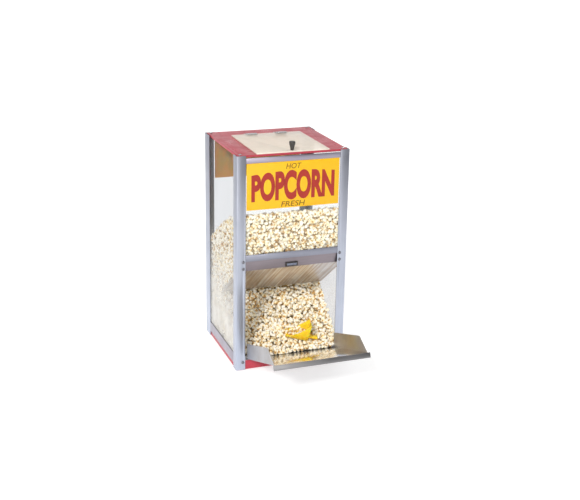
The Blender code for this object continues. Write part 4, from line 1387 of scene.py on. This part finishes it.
@dataclass
class PopcornHeap:
    """Loose popcorn behind the walls, over the slope and at the mouth.

    The fold, the toe and the top points are places in the side view, as (y, z).
    """

    cabinet: Cabinet
    spacing: float = 0.0135
    row_share: float = 0.87
    stray: float = 0.004
    layers: tuple[float, ...] = (0.0075, 0.0165)
    core_depth: float = 0.0190
    core_floor: float = 0.002
    core_shoulder: float = 0.366
    wall_gap: float = 0.0004
    split: float = 0.060
    squashed: float = 0.12
    fold: tuple[float, float] = (0.0080, 0.3270)
    toe: tuple[float, float] = (0.0120, 0.0420)
    repose: float = math.radians(36.5)
    top_points: tuple[tuple[float, float], ...] = (
        (0.036, 0.492), (0.098, 0.470), (0.131, 0.451), (0.164, 0.441), (0.244, 0.390), (0.292, 0.356))
    top_front: float = 0.500
    top_rear: float = 0.330
    front_from: float = 0.340
    front_tall: float = 0.17
    side_tall: float = 0.48
    rear_tall: float = 0.32
    deck_gap: float = 0.0003
    side_gap: float = 0.0005
    crest_beyond: float = 0.010
    least_height: float = 0.006
    sheet_cover: float = 0.0085
    slope_slack: float = 0.002
    top_lift: float = 0.006
    slope_lift: float = 0.004
    wall_beyond: float = 0.02
    sunk: tuple[float, float] = (-0.0025, 0.0035)
    sizes: tuple[float, float] = (0.82, 1.14)
    sheet_gap: float = 0.0016
    sheet_reach: float = 0.012
    fringe_count: int = 22
    fringe_scale: float = 0.55
    fringe_drop: float = 0.0062
    fringe_from_wall: tuple[float, float] = (0.004, 0.010)
    apron_half: float = 0.139
    apron_corner: tuple[float, float] = (-0.013, 0.0545)
    apron_run: tuple[float, float] = (0.030, 0.005)
    apron_floor: float = 0.043
    tray_pivot: tuple[float, float] = (0.0035, 0.0403)
    tray_roll: float = 0.0049
    tray_rise: float = 0.358
    tray_drop: float = 0.0032
    seed: int = 21

    def build(self) -> None:
        """Lay kernels over every face of the heap, on a core coloured darker as painted shade."""
        self.kernels = KernelShape().build()
        self.points = len(self.kernels[0][1])
        self.dice = random.Random(self.seed)
        self.measure()
        self.build_core()
        groups = {
            "popcorn_front": self.front_patches(),
            "popcorn_left": self.side_patches(-1),
            "popcorn_right": self.side_patches(1),
            "popcorn_rear": self.rear_patches(),
            "popcorn_top": self.top_patches(),
            "popcorn_slope": self.slope_patches(),
        }
        toe = []
        for name, patches in groups.items():
            places = self.scatter(patches)
            toe += [place for place in places if self.at_mouth(place)]
            rest = [place for place in places if not self.at_mouth(place)]
            self.lay(name, rest, ("popcorn_bulk",) if name == "popcorn_slope" else ())
        self.lay("popcorn_fringe", self.fringe_places(), (), self.fringe_scale)
        spill = self.lay("popcorn_toe", toe, ("popcorn_spill",))
        anchor = self.cabinet.at(0, self.split, 0)
        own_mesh(spill)

    def at_mouth(self, place: Vector) -> bool:
        """Whether a kernel gives way when the tray folds up."""
        return place.y < self.split and place.z < self.fold[1]

    def local(self, place: Vector) -> Vector:
        """A place as measured from the front face and the post feet."""
        return place - self.cabinet.at(0, 0, 0)

    def measure(self) -> None:
        """Read the walls, the deck and the baffle, and draw the heap's side view."""
        self.inner_x = -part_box("pane_left")[1].x - self.side_gap
        self.width = Vector((2 * self.inner_x, 0, 0))
        self.inner_front = self.local(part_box("pane_front")[1]).y + self.wall_gap
        self.inner_rear = self.local(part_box("pane_rear")[0]).y - self.wall_gap
        self.deck = self.local(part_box("heat_deck")[1]).z + self.deck_gap
        rear = max((self.local(v.co) for v in frame["nodes"]["baffle"].data.vertices), key=lambda p: p.y)
        self.sheet = Line(Vector(self.fold), Vector((rear.y, rear.z)))
        toe = Vector(self.toe)
        crest_y = rear.y + self.crest_beyond
        rise = self.crest_beyond + (crest_y - toe.x) * math.tan(self.repose)
        self.slope = Line(toe, Vector((crest_y, toe.y + rise)))
        self.top_line = [Vector(p) for p in ((self.inner_front, self.top_front), *self.top_points,
                                             (self.inner_rear, self.top_rear))]

    def top_at(self, y: float) -> float:
        """The heap's upper surface.

        Args:
            y: How far back from the front.

        Returns:
            Its height.
        """
        for near, far in zip(self.top_line, self.top_line[1:]):
            if near.x <= y <= far.x:
                return near.y + (far.y - near.y) * (y - near.x) / (far.x - near.x)
        return self.top_line[-1].y

    def in_heap(self, place: Vector) -> bool:
        """Whether a kernel's middle may lie at a place.

        Args:
            place: The place.

        Returns:
            Whether it is inside the heap, and clear of the baffle.
        """
        if place.z > self.top_at(place.y) or place.z < self.deck + self.least_height:
            return False
        over_sheet = self.sheet.height_of(place)
        if place.y > self.slope.end.x or over_sheet > self.sheet_cover:
            return True
        return self.slope.height_of(place) < self.slope_slack and over_sheet < 0

    def at_left(self, y: float, z: float) -> Vector:
        """A place at the left wall."""
        return Vector((-self.inner_x, y, z))

    def front_patches(self) -> list[Patch]:
        """The face behind the front wall, above the crossbar."""
        return [Patch(self.at_left(self.inner_front, self.front_from), self.width,
                      Vector((0, 0, self.front_tall)), Vector((0, 1, 0)), self.in_heap)]

    def side_patches(self, side: int) -> list[Patch]:
        """The face behind a side wall.

        Args:
            side: -1 for the left wall, 1 for the right.

        Returns:
            Its one patch.
        """
        corner = Vector((side * self.inner_x, self.inner_front, self.deck))
        deep = Vector((0, self.inner_rear - self.inner_front, 0))
        return [Patch(corner, deep, Vector((0, 0, self.side_tall)), Vector((-side, 0, 0)), self.in_heap)]

    def rear_patches(self) -> list[Patch]:
        """The face behind the rear wall."""
        return [Patch(self.at_left(self.inner_rear, self.deck), self.width,
                      Vector((0, 0, self.rear_tall)), Vector((0, -1, 0)), self.in_heap)]

    def lying(self, near: Vector, far: Vector, lift: float, keep: Callable[[Vector], bool]) -> Patch:
        """A patch over the heap's whole width.

        Args:
            near: Its front edge in the side view.
            far: Its rear edge in the side view.
            lift: How far it is raised.
            keep: Which of its kernels stay.

        Returns:
            The patch.
        """
        run = Vector((0, far.x - near.x, far.y - near.y))
        into = Vector((0, run.z, -run.y)).normalized()
        return Patch(self.at_left(near.x, near.y + lift), self.width, run, into, keep)

    def top_patches(self) -> list[Patch]:
        """The heap's upper surface, stretch by stretch."""
        return [self.lying(near, far, self.top_lift, lambda place: True)
                for near, far in zip(self.top_line, self.top_line[1:])]

    def slope_patches(self) -> list[Patch]:
        """The free slope at the mouth, from its toe to behind the baffle's edge.

        Returns:
            The slope, the steep face behind the baffle and the apron before the tray's pivot.
        """
        crest = self.slope.end
        floor = self.deck + self.slope_lift
        slope = self.lying(self.slope.start, crest, self.slope_lift, lambda place: place.z > floor)
        rise = Vector((0, 0, self.sheet.end.y - crest.y + self.wall_beyond))
        wall = Patch(self.at_left(crest.x, crest.y), self.width, rise, Vector((0, 1, 0)), lambda place: True)
        apron = Patch(Vector((-self.apron_half, *self.apron_corner)), Vector((2 * self.apron_half, 0, 0)),
                      Vector((0, *self.apron_run)), Vector((0, 0, -1)),
                      lambda place: place.z > self.apron_floor)
        return [slope, wall, apron]

    def fringe_places(self) -> list[Vector]:
        """Small kernels wedged where the baffle's underside meets the right wall.

        Returns:
            Their middles.
        """
        run = self.sheet.end - self.sheet.start
        down = Vector((self.sheet.way.y, -self.sheet.way.x)) * self.fringe_drop
        places = []
        for number in range(self.fringe_count):
            share = (number + self.dice.uniform(0.2, 0.8)) / self.fringe_count
            y, z = self.sheet.start + run * share + down
            places.append(Vector((self.inner_x - self.dice.uniform(*self.fringe_from_wall), y, z)))
        return places

    def scatter(self, patches: Iterable[Patch]) -> list[Vector]:
        """Places for kernels over some patches, layer by layer.

        Args:
            patches: Where they lie.

        Returns:
            The places, measured from the front face and the post feet.
        """
        places = []
        step = self.spacing * self.row_share
        for patch in patches:
            along, up = patch.along.normalized(), patch.up.normalized()
            rows = range(max(1, round(patch.up.length / step)))
            columns = range(round(patch.along.length / self.spacing))
            for (level, depth), row, column in product(enumerate(self.layers), rows, columns):
                u = (column + 0.5 * ((row + level) % 2) + 0.25) * self.spacing
                v = (row + 0.5) * step
                u += self.dice.uniform(-self.stray, self.stray)
                v += self.dice.uniform(-self.stray, self.stray)
                sunk = depth + self.dice.uniform(*self.sunk)
                place = patch.corner + along * u + up * v + patch.into * sunk
                if abs(place.x) < self.inner_x and patch.keep(place):
                    places.append(place)
        return places

    def lay(self, name: str, places: Sequence[Vector], stands_for: Sequence[str],
            scale: float = 1.0) -> bpy.types.Object:
        """Join a kernel at each place into one piece.

        Args:
            name: The piece's name.
            places: The kernels' middles.
            stands_for: The solids that the piece replaces.
            scale: How large the kernels are.

        Returns:
            The piece.
        """
        bm = bmesh.new()
        tones, depths = [], []
        for place in places:
            mesh, lobes = self.dice.choice(self.kernels)
            turn = Quaternion([self.dice.gauss(0, 1) for _ in range(4)]).normalized().to_matrix().to_4x4()
            size = scale * self.dice.uniform(*self.sizes)
            copy = mesh.copy()
            copy.transform(Matrix.Translation(place) @ turn @ Matrix.Scale(size, 4))
            bm.from_mesh(copy)
            bpy.data.meshes.remove(copy)
            tones += [self.dice.random()] * self.points
            depths += lobes
        for vert in bm.verts:
            self.hold_in(vert)
        bmesh.ops.translate(bm, verts=bm.verts, vec=self.cabinet.at(0, 0, 0))
        piece = add_piece(name, bm, Finish.CORN, stands_for)
        for layer, values in (("tone", tones), ("lobe", depths)):
            attribute = piece.data.attributes.new(layer, "FLOAT", "POINT")
            attribute.data.foreach_set("value", values)
        return piece

    def hold_in(self, vert: bmesh.types.BMVert) -> None:
        """Press a point back inside the walls, onto the deck and off the baffle.

        Args:
            vert: The point, moved here.
        """
        place = vert.co
        place.x = max(-self.inner_x, min(self.inner_x, place.x))
        if place.z > self.fold[1]:
            place.y = max(self.inner_front, place.y)
        place.y = min(self.inner_rear, place.y)
        place.z = max(self.deck, place.z)
        self.hold_off_tray(place)
        over = self.sheet.height_of(place)
        low_end = self.sheet.end
        if -self.sheet_reach < over < self.sheet_gap and place.y < low_end.x and place.z > low_end.y:
            place.y -= self.sheet.way.y * (self.sheet_gap - over)
            place.z += self.sheet.way.x * (self.sheet_gap - over)

    def hold_off_tray(self, place: Vector) -> None:
        """Press a point off the tray's rolled edge and off its floor.

        Args:
            place: The point, moved here.
        """
        pivot = Vector(self.tray_pivot)
        off = Vector((place.y, place.z)) - pivot
        if off.length < self.tray_roll:
            place.y, place.z = pivot + off.normalized() * self.tray_roll
        if place.y < pivot.x:
            floor = pivot.y - self.tray_drop + self.tray_rise * (pivot.x - place.y)
            place.z = max(floor, place.z)

    def build_core(self) -> None:
        """The inside of the heap, seen only between kernels, coloured darker as painted shade."""
        deep, floor = self.core_depth, self.deck + self.core_floor
        front, rear = self.inner_front + deep, self.inner_rear - deep
        edge, crest = self.sheet.end, self.slope.end
        outline = [(rear, floor), (rear, self.top_at(rear) - deep)]
        outline += [(p.x, p.y - 1.2 * deep) for p in reversed(self.top_line[2:-1])]
        outline += [(front, self.top_at(front) - deep), (front, self.core_shoulder),
                    (edge.x + deep, edge.y + 0.006), (crest.x + deep, crest.y - deep),
                    (self.split + 0.004, floor)]
        half = self.inner_x - deep
        bm = bmesh.new()
        face = bm.faces.new([bm.verts.new(self.cabinet.at(-half, y, z)) for y, z in outline])
        swept = bmesh.ops.extrude_face_region(bm, geom=[face])
        moved = [item for item in swept["geom"] if isinstance(item, bmesh.types.BMVert)]
        bmesh.ops.translate(bm, verts=moved, vec=(2 * half, 0, 0))
        bmesh.ops.recalc_face_normals(bm, faces=bm.faces)
        add_piece("popcorn_core", bm, Finish.CORN_SHADE, smooth=False)


# ---------------------------------------------------------------- studio


@dataclass(frozen=True)
class Viewpoint:
    """The camera: which way it looks at the cabinet and from how far."""

    azimuth: float = -20.4591
    elevation: float = 18.8565
    roll: float = 1.0979
    distance: float = 3.3185
    right: float = 0.05235
    up: float = -0.01691
    lens: float = 63.515
    post_height: float = 0.6904

    def build(self, cabinet: Cabinet) -> None:
        """Set the camera up and make it the scene's.

        Args:
            cabinet: What it looks at.
        """
        turn, tilt, roll = (math.radians(a) for a in (self.azimuth, self.elevation, self.roll))
        back = Vector((math.sin(turn) * math.cos(tilt), -math.cos(turn) * math.cos(tilt), math.sin(tilt)))
        level = Vector((math.cos(turn), math.sin(turn), 0))
        above = back.cross(level)
        right = level * math.cos(roll) + above * math.sin(roll)
        up = above * math.cos(roll) - level * math.sin(roll)
        target = cabinet.at(0, cabinet.depth / 2, self.post_height / 2)
        camera = stand("camera", bpy.data.cameras.new("camera"))
        camera.data.lens = self.lens
        camera.data.sensor_width = 36.0
        camera.data.clip_end = 100.0
        pose = Matrix((right, up, back)).transposed().to_4x4()
        pose.translation = target + right * self.right + up * self.up + back * self.distance
        camera.matrix_world = pose
        bpy.context.scene.camera = camera


@dataclass(frozen=True)
class Studio:
    """A white sweep under a bright ceiling, with a large lamp to the upper left."""

    ceiling: float = 0.85
    dim: float = 0.22
    dim_way: tuple[float, float, float] = (0.35, -0.93, -0.10)
    key: float = 1.9
    key_way: tuple[float, float, float] = (-0.527, -0.627, 0.574)
    key_spread: float = 9.0
    fill: float = 20.0
    fill_place: tuple[float, float, float] = (-0.5, -2.7, 0.9)
    fill_target: tuple[float, float, float] = (0.0, 0.05, 0.30)
    fill_side: float = 1.4
    floor_glow: float = 0.56

    def build(self) -> None:
        """Lay the floor and hang the lights."""
        self.build_floor()
        self.build_sky()
        self.build_key()
        self.build_fill()
        bpy.context.scene.view_settings.view_transform = "Standard"

    def build_floor(self) -> None:
        """A wide pale floor, lit a little from beneath as a light table is."""
        bm = bmesh.new()
        bmesh.ops.create_grid(bm, x_segments=2, y_segments=2, size=30.0)
        mesh = bpy.data.meshes.new("floor")
        bm.to_mesh(mesh)
        bm.free()
        floor = stand("floor", mesh)
        bench = NodeBench("floor_paper")
        bench.fix(Base_Color=(0.62, 0.62, 0.62, 1.0), Roughness=0.9, Specular_IOR_Level=0.1,
                  Emission_Color=(1.0, 1.0, 1.0, 1.0), Emission_Strength=self.floor_glow)
        mesh.materials.append(bench.material)

    def build_sky(self) -> None:
        """White light from all round, weaker from low down in front."""
        world = bpy.data.worlds.new("studio")
        world.use_nodes = True
        nodes, links = world.node_tree.nodes, world.node_tree.links
        way = nodes.new("ShaderNodeTexCoord")
        towards = nodes.new("ShaderNodeVectorMath")
        towards.operation = "DOT_PRODUCT"
        towards.inputs[1].default_value = self.dim_way
        links.new(way.outputs["Generated"], towards.inputs[0])
        fade = nodes.new("ShaderNodeMapRange")
        fade.interpolation_type = "SMOOTHSTEP"
        for socket, number in (("From Min", 0.0), ("From Max", 0.85), ("To Min", self.ceiling),
                               ("To Max", self.dim)):
            fade.inputs[socket].default_value = number
        links.new(towards.outputs["Value"], fade.inputs["Value"])
        backdrop = nodes.new("ShaderNodeLightPath")
        seen = nodes.new("ShaderNodeMix")
        links.new(backdrop.outputs["Is Camera Ray"], seen.inputs[0])
        links.new(fade.outputs["Result"], seen.inputs[2])
        seen.inputs[3].default_value = 1.0
        sky = nodes["Background"]
        sky.inputs["Color"].default_value = (1.0, 1.0, 1.0, 1.0)
        links.new(seen.outputs[0], sky.inputs["Strength"])
        bpy.context.scene.world = world

    def hang(self, name: str, kind: str, energy: float, colour: Colour) -> bpy.types.Object:
        """Hang a lamp.

        Args:
            name: The lamp's name.
            kind: The lamp's type.
            energy: Its strength.
            colour: The colour of its light.

        Returns:
            The lamp's object.
        """
        lamp = bpy.data.lights.new(name, kind)
        lamp.energy = energy
        lamp.color = colour
        return stand(name, lamp)

    def build_key(self) -> None:
        """A broad distant lamp to the upper left, in front of the cabinet."""
        holder = self.hang("key_light", "SUN", self.key, (1.0, 0.985, 0.96))
        holder.data.angle = math.radians(self.key_spread)
        holder.location = Vector(self.key_way) * 3.0
        holder.rotation_euler = Vector(self.key_way).to_track_quat("Z", "Y").to_euler()

    def build_fill(self) -> None:
        """A soft box before the cabinet, level with the mouth."""
        holder = self.hang("fill_light", "AREA", self.fill, (1.0, 0.99, 0.97))
        holder.data.size = self.fill_side
        holder.location = self.fill_place
        aim = Vector(self.fill_place) - Vector(self.fill_target)
        holder.rotation_euler = aim.to_track_quat("Z", "Y").to_euler()


def main() -> None:
    """Build the object piece by piece, then the studio round it."""
    logging.basicConfig(level=logging.INFO, format="%(name)s: %(message)s")
    cabinet = Cabinet.measure()
    maker = ScrewMaker()
    Viewpoint().build(cabinet)
    assemblies = (Framework(), RedShell(), ClearWalls(), Signs(), MouthBaffle(cabinet), ServingTray(),
                  Fasteners(maker), FillLid(maker), PowerFittings(), Scoop(), PopcornHeap(cabinet))
    for assembly in assemblies:
        assembly.build()
        LOG.info("%s is done", type(assembly).__name__)
    Studio().build()


if __name__ == "__main__":
    main()
